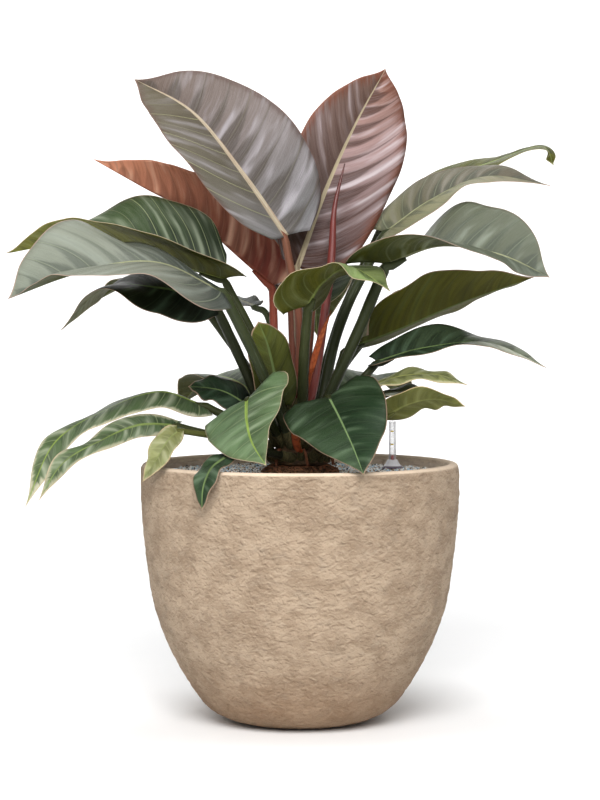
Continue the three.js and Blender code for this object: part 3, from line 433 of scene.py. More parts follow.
# A mesh with point attributes, joined from blocks
class Piece:
    def __init__(self):
        self.points, self.faces, self.values, self.count = [], [], {}, 0

    def add(self, points, faces, **values):
        points = np.asarray(points, float).reshape(-1, 3)
        self.points.append(points)
        self.faces.append(np.asarray(faces, int) + self.count)
        for key, value in values.items():
            value = np.asarray(value, float)
            if value.ndim < 2:
                value = np.broadcast_to(value, len(points))
            self.values.setdefault(key, []).append(value)
        self.count += len(points)

    # A round bar along a path; radii may vary with the place on the path and the turn round it
    def bar(self, path, radii, sides, closed=False, **values):
        path = np.asarray(path, float)
        along = unit(np.gradient(path, axis=0))
        across = np.zeros_like(path)
        across[0] = unit(np.cross(along[0], (0.31, 0.87, 0.17)))
        for k in range(1, len(path)):
            across[k] = unit(across[k - 1] - along[k] * (across[k - 1] @ along[k]))
        up = np.cross(along, across)
        turn = full_turn(sides)
        radii = np.broadcast_to(np.asarray(radii, float).reshape(len(path), -1), (len(path), sides))
        rings = (path[:, None] + across[:, None] * (np.cos(turn) * radii)[..., None]
                 + up[:, None] * (np.sin(turn) * radii)[..., None])
        start = self.count
        self.add(rings, grid_faces(len(path), sides, wrap=True), **values)
        if closed:
            ring = np.arange(start, start + sides)
            self.faces.append(np.array([ring[::-1], ring + (len(path) - 1) * sides]))

    def make(self, name, material, replaced=None, flat=False):
        points = np.concatenate(self.points) * MM
        sizes = np.concatenate([np.full(len(block), block.shape[1]) for block in self.faces])
        corners = np.concatenate([block.ravel() for block in self.faces])
        mesh = bpy.data.meshes.new(name)
        mesh.vertices.add(len(points))
        mesh.vertices.foreach_set("co", points.ravel())
        mesh.loops.add(len(corners))
        mesh.loops.foreach_set("vertex_index", corners)
        mesh.polygons.add(len(sizes))
        mesh.polygons.foreach_set("loop_start", np.concatenate([[0], np.cumsum(sizes)[:-1]]))
        mesh.update(calc_edges=True)
        mesh.polygons.foreach_set("use_smooth", np.full(len(sizes), not flat))
        for key, blocks in self.values.items():
            data = np.concatenate(blocks)
            kind, field = ("FLOAT_VECTOR", "vector") if data.ndim == 2 else ("FLOAT", "value")
            mesh.attributes.new(key, kind, "POINT").data.foreach_set(field, data.ravel())
        mesh.validate()
        mesh.materials.append(material)
        piece = in_scene(name, mesh)
        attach(piece, BODY)
        if replaced:
            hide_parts(replaced)


# Materials
def linear(rgb):
    c = np.array(rgb, float) / 255
    c = np.where(c <= 0.04045, c / 12.92, ((c + 0.055) / 1.055) ** 2.4)
    return (*c, 1.0)


class Nodes:
    def __init__(self, name):
        self.material = bpy.data.materials.new(name)
        self.material.use_nodes = True
        self.tree = self.material.node_tree
        self.shader = self.tree.nodes["Principled BSDF"]

    def put(self, socket, value):
        if isinstance(value, bpy.types.NodeSocket):
            self.tree.links.new(value, socket)
        else:
            socket.default_value = value

    # The outputs of a new node, whose inputs are set or linked by name or number
    def node(self, kind, inputs=(), **settings):
        made = self.tree.nodes.new(kind)
        for key, value in settings.items():
            setattr(made, key, value)
        for key, value in dict(inputs).items():
            self.put(made.inputs[key], value)
        return made.outputs

    def math(self, operation, a, b=0.0, c=0.0, clamp=False):
        return self.node("ShaderNodeMath", enumerate((a, b, c)), operation=operation, use_clamp=clamp)[0]

    def times(self, product, *factors):
        for factor in factors:
            product = self.math("MULTIPLY", product, factor)
        return product

    def value(self, name):
        return self.node("ShaderNodeAttribute", attribute_name=name)["Fac"]

    def parts(self, vector):
        return self.node("ShaderNodeSeparateXYZ", {0: vector})

    def vector_parts(self, name):
        return self.parts(self.node("ShaderNodeAttribute", attribute_name=name)["Vector"])

    # Place on the piece in millimetres, with its height scaled on its own, and a shift
    def place(self, height=1.0, shift=(0, 0, 0)):
        where = self.node("ShaderNodeTexCoord")["Object"]
        scale = (1000, 1000, 1000 * height)
        return self.node("ShaderNodeMapping", dict(Vector=where, Scale=scale, Location=shift))[0]

    def noise(self, vector, scale=1.0, detail=2.0, rough=0.5, distortion=0.0):
        return self.node("ShaderNodeTexNoise", dict(Vector=vector, Scale=scale, Detail=detail,
                                                    Roughness=rough, Distortion=distortion))[0]

    def span(self, value, low, high, to_low=0.0, to_high=1.0):
        inputs = enumerate((value, low, high, to_low, to_high))
        return self.node("ShaderNodeMapRange", inputs, interpolation_type="SMOOTHSTEP")[0]

    def mix(self, share, a, b):
        a, b = (linear(c) if isinstance(c, tuple) else c for c in (a, b))
        return self.node("ShaderNodeMix", {0: share, 6: a, 7: b}, data_type="RGBA")[2]

    # Colours laid over a base one after the other, each with its share
    def layers(self, colour, *overs):
        for share, over in overs:
            colour = self.mix(share, colour, over)
        return colour

    def ramp(self, value, stops, steps=False):
        made = self.tree.nodes.new("ShaderNodeValToRGB")
        self.put(made.inputs[0], value)
        if steps:
            made.color_ramp.interpolation = "CONSTANT"
        elements = made.color_ramp.elements
        for k, (place, colour) in enumerate(stops):
            element = elements[k] if k < 2 else elements.new(place)
            element.position = place
            element.color = linear(colour)
        return made.outputs[0]

    def bump(self, height, distance, strength):
        return self.node("ShaderNodeBump", dict(Height=height, Distance=distance, Strength=strength))[0]

    def finish(self, colour, roughness, normal=None, **settings):
        self.put(self.shader.inputs["Base Color"], colour)
        self.put(self.shader.inputs["Roughness"], roughness)
        if normal:
            self.put(self.shader.inputs["Normal"], normal)
        for key, value in settings.items():
            self.shader.inputs[key.replace("_", " ")].default_value = value
        return self.material


# Blade, midrib, margin and stalk in one material; every length in it is in millimetres
def leaf_material(leaf, seed):
    skin = skin_of(leaf)
    m = Nodes("blade_" + leaf["name"])
    x, y, side = m.vector_parts("leaf")
    t, edge, stalk = m.vector_parts("mark")
    phase, slant, share = m.vector_parts("fold")
    period = skin["pleat"][1]
    right = m.math("GREATER_THAN", x, 0.0)

    def by_half(key):
        low, high = skin[key] if isinstance(skin[key], tuple) else (skin[key], skin[key])
        return m.math("MULTIPLY_ADD", right, high - low, low)

    def point(a, b, c):
        return m.node("ShaderNodeCombineXYZ", enumerate((a, b, c)))[0]

    # Noise drawn out along the blade or along its veins
    def lines(across, way, along, shift=0.0, detail=3, rough=0.5):
        return m.noise(point(m.times(x, across), m.times(way, along), seed + shift), 1, detail, rough)

    # Soft pale patches of painted sheen along the veins, painted shade in streaks, and fine lines
    painted_sheen = m.span(lines(0.013, slant, 0.05, 3.1, 2, 0.6), 0.44, 0.66)
    shade_streak = m.span(lines(0.018, slant, 0.19, 5.3, 4, 0.65), 0.42, 0.72)
    fine = m.span(lines(0.03, slant, 0.75, 7.7, 3, 0.6), 0.36, 0.68)
    cycle = m.math("PINGPONG", phase, 0.5)

    # Painted shade in the creases: it starts at the midrib and runs out along the veins, some deeper than
    # others
    near = m.span(share, 0.85, 0.02)
    depth = m.noise(point(m.times(phase, 0.8), seed, m.times(right, 7)), 1, 1)
    reach = m.times(near, m.span(depth, 0.36, 0.62, 0.14, 0.46))
    past_reach = m.math("SUBTRACT", cycle, reach)
    ragged = m.math("MULTIPLY_ADD", m.math("SUBTRACT", shade_streak, 0.5), 0.12, past_reach)
    crease_shade = m.times(m.span(ragged, 0.08, -0.12), by_half("dark"))
    vein = m.times(m.span(cycle, 1.0 / period, 0.3 / period), m.span(t, 0.97, 0.75),
                   m.span(depth, 0.35, 0.6, 0.25, 1), by_half("veins"))
    ridge = m.span(cycle, 0.2, 0.5, 0.25, 1)
    width, rim_share = skin["band"]
    band = m.span(m.math("MULTIPLY_ADD", m.math("ADD", shade_streak, painted_sheen), 0.5 * width, edge), width, 2)
    # Upper face: its own colours, with painted sheen on the pleat ridges and painted shade in the streaks
    # and creases
    upper = m.layers(
        m.ramp(t, zip((0.05, 0.5, 0.95), skin["up"])),
        (m.times(m.math("SUBTRACT", 1.0, right), m.span(t, 0.0, 0.35, 0.2, 0.75)), skin["other"]),
        (m.times(painted_sheen, ridge, by_half("painted_sheen")), skin["light"]),
        (m.times(by_half("dark"), 0.22, shade_streak), skin["crease_shade"]),
        (crease_shade, skin["crease_shade"]),
        (m.times(by_half("painted_sheen"), 0.1, fine), skin["light"]),
        (m.times(band, rim_share), skin["rim"]),
        (vein, skin["vein"]))
    # Back of the blade: its own colours, with painted sheen on its ridges and painted shade in its streaks
    # and creases
    lower = m.layers(
        m.ramp(t, zip((0.1, 0.9), skin["low"])),
        (m.times(painted_sheen, ridge, skin.get("back_painted_sheen", 0.2)), skin["vein"]),
        (m.times(shade_streak, 0.3), skin["crease_shade"]),
        (m.times(crease_shade, 0.5), skin["crease_shade"]),
        (m.times(vein, 0.35), skin["vein"]))
    face = m.math("GREATER_THAN", side, 0.5)
    # Small dark flecks of the leaf's own, in the same dark colour as the painted crease shade
    spots = m.span(lines(0.35, y, 0.35, detail=4), 0.66, 0.74, 0, 0.2)

    # Midrib as a pale band that narrows to the tip, with fine lines along it
    left_over = m.math("POWER", m.math("SUBTRACT", 1.0, t, clamp=True), 0.85)
    rib_reach = m.math("MULTIPLY_ADD", left_over, skin["rib_width"], 0.3)
    rib = m.span(m.math("SUBTRACT", m.math("ABSOLUTE", x), rib_reach), 0.5, -0.5)
    rib_lines = m.span(lines(1.1, y, 0.03), 0.35, 0.65, 0, 0.45)
    rib_colour = m.mix(rib_lines, skin["rib"], skin["stalk"][1])

    # Stalk, with dark and pale streaks of its own along it
    long_lines = lines(0.7, y, 0.02, 2.2, 4, 0.6)
    stem = m.layers(
        m.ramp(t, zip((0.1, 0.9), skin["stalk"])),
        (m.span(long_lines, 0.4, 0.7, 0, 0.5), skin["crease_shade"]),
        (m.span(long_lines, 0.62, 0.75, 0, 0.3), skin["rib"]))
    colour = m.layers(
        m.mix(face, lower, upper),
        (spots, skin["crease_shade"]),
        (m.times(rib, m.span(face, 0, 1, 0.4, 0.95)), rib_colour),
        (m.span(edge, 1.4, 0.4, 0, 0.75), skin["edge"]),
        (m.math("GREATER_THAN", stalk, 0.5), stem))

    rough = m.math("ADD", m.span(shade_streak, 0, 1, 0.36, 0.48), m.span(face, 1, 0, 0, 0.2))
    net = m.math("MULTIPLY_ADD", fine, 0.4, lines(0.5, slant, 1.6))
    height = m.math("MULTIPLY_ADD", m.span(cycle, 1.4 / period, 0), 0.6, net)
    return m.finish(colour, rough, m.bump(height, 0.0005, 0.8), Specular_IOR_Level=0.16)


# Blade with thickness, pleats, midrib ridge and margin; gives the normals along its midrib
def add_blade(piece, leaf, phase, drift):
    skin = skin_of(leaf)
    row_step, fewest_rows = 4.2, 16
    length = curve_length(leaf["rib"])
    rows = max(int(length / row_step), fewest_rows)
    half_columns = 8 if leaf["width"] < SMALL_BLADE else 13
    t = np.linspace(0, 1, rows + 1)
    v = np.linspace(0, 1, half_columns + 1) ** 1.15
    v = np.concatenate([-v[:0:-1], v])
    points, half = blade_surface(leaf, t, v, length)
    up, out = t[:, None], np.abs(v)
    x = v * half
    y = up * length
    slant = y - 0.36 * np.abs(x) - 0.0026 * x * x

    depth, period = skin["pleat"]
    turn_count = slant / period + 0.25 * np.sin(slant / 37 + 6 * phase) + drift + 0.37 * (v < 0)
    fold = np.abs(np.sin(np.pi * turn_count)) ** 0.6 - 0.6
    uneven = 0.75 + 0.5 * np.sin(2.3 * turn_count + 9 * drift)
    ends = np.sin(np.pi * np.clip(up, 0.02, 0.98)) ** 0.6
    pleats = depth * uneven * fold * smooth(out * 5) * (1 - 0.75 * smooth((out - 0.45) / 0.5)) * ends
    ripple = 0.6 * np.sin(slant / period * 2.9 + 5 * phase) * out ** 3 * ends
    ridge = 0.9 * np.exp(-(x / (skin["rib_width"] * 0.8)) ** 2) * (1 - up) ** 0.7
    points = points + surface_normals(points) * (pleats + ripple)[..., None]
    normals = surface_normals(points)
    thick = BLADE_THICKNESS / 2 * (1 - 0.45 * smooth((out - 0.85) / 0.15))
    top = points + normals * (thick + 0.35 * ridge)[..., None]
    under = points - normals * (thick + 1.5 * ridge)[..., None]
    margin = half * (1 - out)
    margin = np.where(up > 0.96, np.minimum(margin, (1 - up) * length), margin)

    for surface, side in ((top, 1), (under, 0)):
        piece.add(surface, grid_faces(rows + 1, len(v), flip=side == 0), leaf=triples(x, y, side),
                  mark=triples(up, margin, 0), fold=triples(turn_count, slant, out))
    grid = np.arange(x.size).reshape(x.shape)
    rim = np.concatenate([grid[0], grid[1:, -1], grid[-1, -2::-1], grid[-2:0:-1, 0]])
    onward = np.roll(rim, -1)
    piece.faces.append(np.column_stack([rim, rim + x.size, onward + x.size, onward]))
    return normals[:, half_columns]


# The way of a stalk from its socket to the midrib, and its radii at the neck and the foot
def stalk_route(leaf):
    reach, height = RINGS[leaf["ring"]]
    socket = polar(reach, math.radians(leaf["turn"]), height)
    neck = leaf.get("neck", 5)
    foot = leaf.get("foot", min(neck + 1, 7))
    return [socket, *leaf["stalk"], leaf["rib"][0]], neck, foot


# Stalk down to its socket; its upper end thins out under the midrib
def add_stalk(piece, leaf, rib_normals, phase):
    route, neck, foot = stalk_route(leaf)
    steps = 30
    sides = 12 if leaf["width"] < SMALL_BLADE else 16
    s = np.linspace(0, 1, steps + 1)
    onward = np.array([0.03, 0.07, 0.12])
    path = np.vstack([curve(route, s), curve(leaf["rib"], onward)])
    thinning = neck * np.array([0.9, 0.78, 0.6, 0.38])
    radii = np.concatenate([(foot + (neck - foot) * s)[:-1], thinning])
    rows_there = np.rint(np.concatenate([[0], onward]) * (len(rib_normals) - 1)).astype(int)
    path[-4:] -= rib_normals[rows_there] * (thinning * (0.3, 0.75, 0.9, 1.0))[:, None]
    turns = full_turn(sides)
    wobble = 1 + 0.04 * np.sin(3 * turns + 4 * phase) + 0.03 * np.sin(np.arange(len(path)) * 0.9)[:, None]
    along = travelled(path)[:, None]
    round_it = triples(9 * np.cos(turns), along, 1)
    share = np.clip(along / along[steps], 0, 1)
    piece.bar(path, radii[:, None] * wobble, sides, closed=True, leaf=round_it,
              mark=triples(share, np.full(sides, 50), 1), fold=round_it)


def leaf_piece(leaf, seed):
    phase, drift = np.random.default_rng(seed).random(2)
    piece = Piece()
    rib_normals = add_blade(piece, leaf, phase, drift)
    add_stalk(piece, leaf, rib_normals, phase)
    piece.make("fine_" + leaf["name"], leaf_material(leaf, seed * 1.7), leaf["name"])


for number, leaf in enumerate(LEAVES + SHEATHS, 1):
    leaf_piece(leaf, number)


# A half profile with more points along its sides, about a step apart
def turned_profile(profile, step):
    out = [np.array(profile[0], float)]
    for a, b in zip(profile, profile[1:]):
        a, b = np.array(a, float), np.array(b, float)
        count = max(int(math.dist(a, b) / step), 1)
        out += [a + (b - a) * k / count for k in range(1, count + 1)]
    return np.array(out)


# A profile with its corners cut back, once in each pass
def rounded(profile, passes):
    p = np.array(profile, float)
    for _ in range(passes):
        cut = np.column_stack([p[:-1] * 0.75 + p[1:] * 0.25, p[:-1] * 0.25 + p[1:] * 0.75])
        p = np.vstack([p[:1], cut.reshape(-1, 2), p[-1:]])
    return p


# Pot: a turned form with hammered relief
def hammered(x, y, z):
    q = Vector((x / 11 + 3, y / 11, z / 7.5))
    lumps = noise.fractal(q, 0.9, 2.1, 4)
    dabs = noise.ridged_multi_fractal(q * 0.55 + Vector((9, 4, 2)), 1.0, 2.1, 3, 1.0, 2.0)
    slow = noise.noise(Vector((x, y, z)) / 60)
    return lumps + 0.45 * (dabs - 1.1) + 0.5 * slow


def pot_material():
    m = Nodes("hammered_stone")

    def dabs(where):
        return m.noise(where, 0.11, 7, 0.7, 0.4)

    place = m.place()
    flat = m.place(1.4)
    lumps = dabs(flat)
    grain = m.noise(place, 0.9, 3, 0.6)
    patches = m.noise(flat, 0.028, 4, 0.6, 0.3)
    second_patches = m.noise(flat, 0.045, 4, 0.65)
    height = m.parts(place)[2]
    inside, rim = m.value("inside"), m.value("rim")
    # Painted light and shade of the relief: lighter on what faces up, darker under each small ledge
    painted_relief_light = m.math("SUBTRACT", lumps, dabs(m.place(1.4, (0.4, 0, 2.0))))
    colour = m.layers(
        m.mix(m.span(patches, 0.36, 0.64), (170, 147, 123), (195, 172, 147)),
        (m.span(second_patches, 0.5, 0.74, 0, 0.35), (154, 139, 122)),
        (m.span(painted_relief_light, 0.0, 0.16, 0, 0.5), (210, 190, 166)),
        (m.span(painted_relief_light, 0.0, -0.16, 0, 0.55), (118, 96, 74)),
        (m.span(grain, 0.6, 0.76, 0, 0.2), (124, 102, 80)),
        (m.span(height, 110, 4, 0, 0.5), (150, 113, 80)),
        # The inner wall is painted much lighter than the outside: painted light against the shade inside
        # the pot
        (m.times(inside, 0.9), (250, 230, 208)),
        (m.times(rim, 0.75), (218, 198, 176)))
    relief = m.math("MULTIPLY_ADD", grain, 0.09, lumps)
    normal = m.bump(relief, 0.0115, m.span(rim, 0, 1, 0.9, 0.1))
    return m.finish(colour, m.span(grain, 0.2, 0.8, 0.82, 0.95), normal, Specular_IOR_Level=0.25)


# The hammering fades out towards the foot and the rim, and is faint on the inner wall
def pot_piece():
    outer = turned_profile(rounded(POT_OUTER, 2), 3.1)
    inner = turned_profile(rounded([POT_OUTER[-1]] + POT_INNER, 1), 9)[1:]
    profile = np.vstack([outer, inner])
    rows = profile[1:-1]
    tangent = unit(np.gradient(profile, axis=0))[1:-1]
    is_inner = np.arange(1, len(profile) - 1) >= len(outer)
    sides = 420
    points = []
    for (r, z), (climb_r, climb_z), within in zip(rows, tangent, is_inner):
        fade = 0.15 if within else float(smooth((324 - z) / 4) * smooth((z - 1) / 10))
        for turn in full_turn(sides):
            x, y = r * math.cos(turn), r * math.sin(turn)
            relief = hammered(x, y, z) if fade > 0.02 else 0.0
            depth = fade * (relief * 0.85 - 0.3)
            points.append((x + depth * climb_z * math.cos(turn), y + depth * climb_z * math.sin(turn),
                           z - depth * climb_r))
    height = rows[:, 1]
    inside = np.repeat(is_inner & (height < 320), sides)
    over_edge = np.where(is_inner, smooth((height - 317) / 5), 1)
    rim = np.repeat(smooth((height - 321.5) / 3) * over_edge, sides)
    piece = Piece()
    piece.add(points, grid_faces(len(rows), sides, wrap=True), inside=inside, rim=rim)
    # A point in the middle of the foot and of the floor, each with a fan of triangles
    foot = piece.count
    floor = foot + 1
    piece.add([(0, 0, rows[0][1]), (0, 0, rows[-1][1])], np.zeros((0, 3), int), inside=(0, 1), rim=0)
    ring = np.arange(sides)
    onward = np.roll(ring, -1)
    last = (len(rows) - 1) * sides
    piece.faces.append(np.column_stack([np.full(sides, foot), onward, ring]))
    piece.faces.append(np.column_stack([np.full(sides, floor), last + ring, last + onward]))
    piece.make("hammered_pot", pot_material(), "pot")


# Small angular stones and crumbs, each a block with its corners moved
def block_stone():
    points = 0.6 * np.array([(x, y, z) for z in (-1, 1) for x, y in ((-1, -1), (1, -1), (1, 1), (-1, 1))])
    faces = [(0, 3, 2, 1), (4, 5, 6, 7)]
    faces += [(k, (k + 1) % 4, (k + 1) % 4 + 4, k + 4) for k in range(4)]
    faces = [corners for a, b, c, d in faces for corners in ((a, b, c), (a, c, d))]
    return points, np.array(faces)


def random_turns(rng, count):
    w, x, y, z = unit(rng.normal(size=(count, 4))).T
    cells = [1 - 2 * (y * y + z * z), 2 * (x * y - w * z), 2 * (x * z + w * y),
             2 * (x * y + w * z), 1 - 2 * (x * x + z * z), 2 * (y * z - w * x),
             2 * (x * z - w * y), 2 * (y * z + w * x), 1 - 2 * (x * x + y * y)]
    return np.stack(cells, -1).reshape(-1, 3, 3)


def scatter_stones(piece, rng, centres, sizes, tints):
    points, faces = block_stone()
    count, corners = len(centres), len(points)
    shape = points[None] * (1 + 0.2 * rng.normal(size=(count, corners, 1)).clip(-1.4, 1.4))
    shape = shape * rng.uniform(0.7, 1.15, (count, 1, 3))
    shape = np.einsum("nij,npj->npi", random_turns(rng, count), shape) * sizes[:, None, None]
    shape = shape + centres[:, None]
    offsets = (np.arange(count) * corners)[:, None, None]
    piece.add(shape, (faces[None] + offsets).reshape(-1, 3), tint=np.repeat(tints, corners))


# Filling: one layer of granules over a bed, each with its own tint
def granule_material():
    m = Nodes("mineral_granules")
    grain = m.noise(m.place(), 0.9, 3, 0.6)
    stops = [(0.0, (52, 46, 42)), (0.13, (152, 122, 94)), (0.25, (222, 206, 184)),
             (0.35, (255, 253, 248)), (0.64, (198, 225, 242)), (0.79, (255, 255, 255))]
    tints = m.ramp(m.value("tint"), stops, steps=True)
    colour = m.mix(m.span(grain, 0.5, 0.72, 0, 0.15), tints, (120, 108, 96))
    rough = m.span(grain, 0, 1, 0.75, 0.95)
    return m.finish(colour, rough, m.bump(grain, 0.0006, 0.6), Specular_IOR_Level=0.3)


def granule_bed(piece, rng):
    sides = 150
    turn = full_turn(sides)
    bed = []
    for r in np.linspace(MOUND_RADIUS - 0.2, GRAVEL_OUTER, 46):
        z = GRAVEL_TOP - 2.5 + 1.2 * rng.random(sides)
        bed.append(np.column_stack([r * np.cos(turn), r * np.sin(turn), z]))
    faces = grid_faces(len(bed), sides, flip=True, wrap=True)
    piece.add(bed, faces, tint=rng.random(len(bed) * sides) * 0.3)


# Places in rows like a honeycomb, each moved a little, with none under the mound or by the meter
def granule_places(rng):
    step, stray = 3.3, 0.9
    places = []
    for i in range(-56, 57):
        for j in range(-65, 66):
            x = step * (i + 0.5 * (j % 2)) + rng.uniform(-stray, stray)
            y = step * 0.866 * j + rng.uniform(-stray, stray)
            size = rng.uniform(1.3, 2.2)
            in_bed = MOUND_RADIUS - 3 <= math.hypot(x, y) <= GRAVEL_OUTER - size
            if in_bed and math.hypot(x - METER_X, y - METER_Y) >= CAP_RADIUS + 2.5:
                places.append((x, y, GRAVEL_TOP - 1.5 + rng.uniform(-0.6, 1.2), size))
    return np.array(places)


def gravel_piece():
    rng = np.random.default_rng(11)
    piece = Piece()
    granule_bed(piece, rng)
    places = granule_places(rng)
    tints = rng.random(len(places))
    scatter_stones(piece, rng, places[:, :3], places[:, 3], tints)
    piece.make("mineral_granules", granule_material(), "substrate", flat=True)


# Soil mound with crumbs and surface roots
def soil_material():
    m = Nodes("root_bound_soil")
    lumps = m.noise(m.place(), 0.22, 5, 0.65)
    fine = m.noise(m.place(), 1.3, 3, 0.6)
    root = m.mix(m.span(fine, 0.35, 0.65), (140, 84, 58), (196, 140, 104))
    colour = m.layers(
        m.mix(m.span(lumps, 0.35, 0.65), (78, 56, 40), (150, 110, 80)),
        (m.math("GREATER_THAN", m.value("tint"), 0.5), root),
        (m.span(fine, 0.64, 0.74, 0, 0.5), (150, 112, 84)))
    height = m.math("MULTIPLY_ADD", lumps, 1.6, fine)
    return m.finish(colour, 0.92, m.bump(height, 0.0016, 0.8), Specular_IOR_Level=0.2)


def mound_height(r, turn):
    shape = MOUND_TOP + 0.5 - 7.5 * max((r - 34) / 15, 0) ** 1.6
    return shape + 2.2 * noise.noise(Vector(polar(r, turn, 0)) / 9)


def mound_surface(piece, rng):
    sides = 120
    edge = MOUND_RADIUS - 0.3
    radii = [STEM_RADIUS - 4, *np.linspace(STEM_RADIUS, edge, 18)]
    turns = [2 * math.pi * k / sides for k in range(sides)]
    points = [polar(r, turn, mound_height(r, turn) + rng.uniform(-0.5, 0.9))
              for r in radii for turn in turns]
    points += [polar(edge, turn, GRAVEL_TOP - 8) for turn in turns]
    piece.add(points, grid_faces(len(radii) + 1, sides, flip=True, wrap=True), tint=0)


def mound_crumbs(piece, rng):
    crumbs = []
    for _ in range(420):
        r, turn = rng.uniform(STEM_RADIUS + 1, MOUND_RADIUS - 2), rng.uniform(0, 2 * math.pi)
        crumbs.append(polar(r, turn, mound_height(r, turn) + rng.uniform(0, 1.2)))
    sizes = rng.uniform(0.8, 2.4, len(crumbs))
    tints = rng.random(len(crumbs)) > 0.86
    scatter_stones(piece, rng, np.array(crumbs), sizes, tints)


# A root that wanders over the mound, partly sunk in it
def mound_root(piece, rng):
    inner, outer = STEM_RADIUS + 1, MOUND_RADIUS - 3
    r, turn = rng.uniform(inner + 1, outer - 3), rng.uniform(0, 2 * math.pi)
    heading = rng.uniform(0, 2 * math.pi)
    x, y, _ = polar(r, turn, 0)
    girth = rng.uniform(0.35, 1.1)
    points, stride = 14, 2.2
    way = []
    for k in range(points):
        arch = 1.6 * math.sin(math.pi * k / (points - 1)) * rng.uniform(0.5, 1)
        way.append((x, y, mound_height(math.hypot(x, y), math.atan2(y, x)) + 0.5 + arch))
        heading += rng.normal() * 0.35
        x, y = x + stride * math.cos(heading), y + stride * math.sin(heading)
        r = math.hypot(x, y)
        if r > outer:
            x, y = x * outer / r, y * outer / r
        if r < inner:
            x, y = x * inner / r, y * inner / r
    piece.bar(way, np.full(points, girth), 6, tint=1)


def mound_piece():
    rng = np.random.default_rng(23)
    piece = Piece()
    mound_surface(piece, rng)
    mound_crumbs(piece, rng)
    for _ in range(58):
        mound_root(piece, rng)
    piece.make("soil_and_roots", soil_material(), "root_ball")


# Crown: a scarred stem, a clasping collar at each stalk's foot, and stubby roots
def crown_material():
    m = Nodes("crown_tissue")
    tint = m.value("tint")
    rings = m.noise(m.place(2.6), 0.05, 4, 0.6)
    fibres = m.noise(m.place(0.16), 0.5, 4, 0.6)
    collar = m.mix(m.span(fibres, 0.3, 0.7), (60, 60, 36), (106, 98, 64))
    root = m.mix(m.span(fibres, 0.3, 0.7), (104, 58, 40), (158, 104, 74))
    colour = m.layers(
        m.mix(m.span(rings, 0.35, 0.65), (64, 50, 36), (126, 100, 72)),
        (m.math("GREATER_THAN", tint, 0.4), collar),
        (m.math("GREATER_THAN", tint, 0.8), root),
        (m.span(fibres, 0.62, 0.76, 0, 0.5), (126, 92, 60)))
    height = m.math("MULTIPLY_ADD", fibres, 0.6, rings)
    return m.finish(colour, 0.78, m.bump(height, 0.0012, 0.8), Specular_IOR_Level=0.3)


def crown_stem(piece):
    profile = [(STEM_RADIUS, STEM_FOOT), (STEM_RADIUS, MOUND_TOP + 2)]
    for reach, height in RINGS.values():
        profile += [(reach + 2.5, height - 8), (reach + 1, height - 1), (reach - 1.5, height + 7)]
    rows = turned_profile(profile + [(6, 401), (0.5, 402)], 2.2)
    sides = 72
    points = []
    for r, z in rows:
        for turn in (2 * math.pi * k / sides for k in range(sides)):
            scars = 0.0 if r < 1 else 1.1 * noise.fractal(Vector(polar(3, turn, z / 9)), 1, 2, 3)
            points.append(polar(r + scars, turn, z))
    piece.add(points, grid_faces(len(rows), sides, wrap=True), tint=0)


def crown_collar(piece, rng, leaf):
    route, _, foot = stalk_route(leaf)
    way = curve(route, np.linspace(0, 1, 200))
    so_far = travelled(way)
    up = np.linspace(0, 20, 9)
    path = np.column_stack([np.interp(up, so_far, way[:, k]) for k in range(3)])
    path[0] += unit(path[0] - path[1]) * 3
    sides = 16
    turns = full_turn(sides)
    lip = 1 + 0.08 * np.sin(2 * turns + rng.uniform(0, 6)) + 0.05 * np.sin(5 * turns)
    girth = (foot + np.interp(up, [0, 6, 16, 20], [1.9, 1.5, 1.0, 0.45]))[:, None] * (0.96 + 0.04 * lip)
    piece.bar(path, girth, sides, tint=0.6)


def crown_root(piece, rng, turn):
    way = [(36, 344), (42, 340), (45, 333), (46.5, 324)]
    s = np.linspace(0, 1, 14)
    path = curve([polar(r, turn + 0.03 * k, z) for k, (r, z) in enumerate(way)], s)
    girth = 2.3 - 0.7 * s + 0.12 * rng.normal(size=len(s))
    piece.bar(path, girth, 10, closed=True, tint=1)


def crown_piece():
    rng = np.random.default_rng(31)
    piece = Piece()
    crown_stem(piece)
    for leaf in LEAVES + SHEATHS:
        crown_collar(piece, rng, leaf)
    for k in range(7):
        crown_root(piece, rng, math.radians(20 + k * 360 / 7))
    piece.make("crown_tissue", crown_material(), "crown")


# The rolled newest leaf: a slim cone whose outer edge winds almost once round it
def spike_material():
    m = Nodes("rolled_leaf")
    lines = m.noise(m.place(0.022), 0.6, 4, 0.6)
    stops = [(0.0, (84, 34, 24)), (0.35, (114, 44, 36)), (0.75, (108, 42, 36)), (1.0, (62, 28, 22))]
    colour = m.layers(
        m.ramp(m.value("mark"), stops),
        (m.span(lines, 0.4, 0.6, 0, 0.5), (84, 34, 32)),
        (m.span(lines, 0.6, 0.74, 0, 0.5), (172, 104, 92)))
    return m.finish(colour, 0.38, m.bump(lines, 0.0006, 0.7), Coat_Weight=0.15, Coat_Roughness=0.25)


def spike_piece():
    rows, sides = 90, 28
    t = np.linspace(0, 1, rows)
    radius = SPIKE_RADIUS * (1 - 0.86 * np.clip((t - 0.5) / 0.5, 0, 1) ** 1.25)
    turns = np.arange(sides) / sides
    step = (turns - 0.9 * t[:, None]) % 1.0
    girth = radius[:, None] * (0.86 + 0.16 * step + 0.03 * np.sin(2 * np.pi * 3 * turns))
    piece = Piece()
    piece.bar(curve(SPIKE_WAY, t), girth, sides, closed=True, mark=np.repeat(t, sides))
    piece.make("rolled_leaf", spike_material(), "new_leaf_spike")


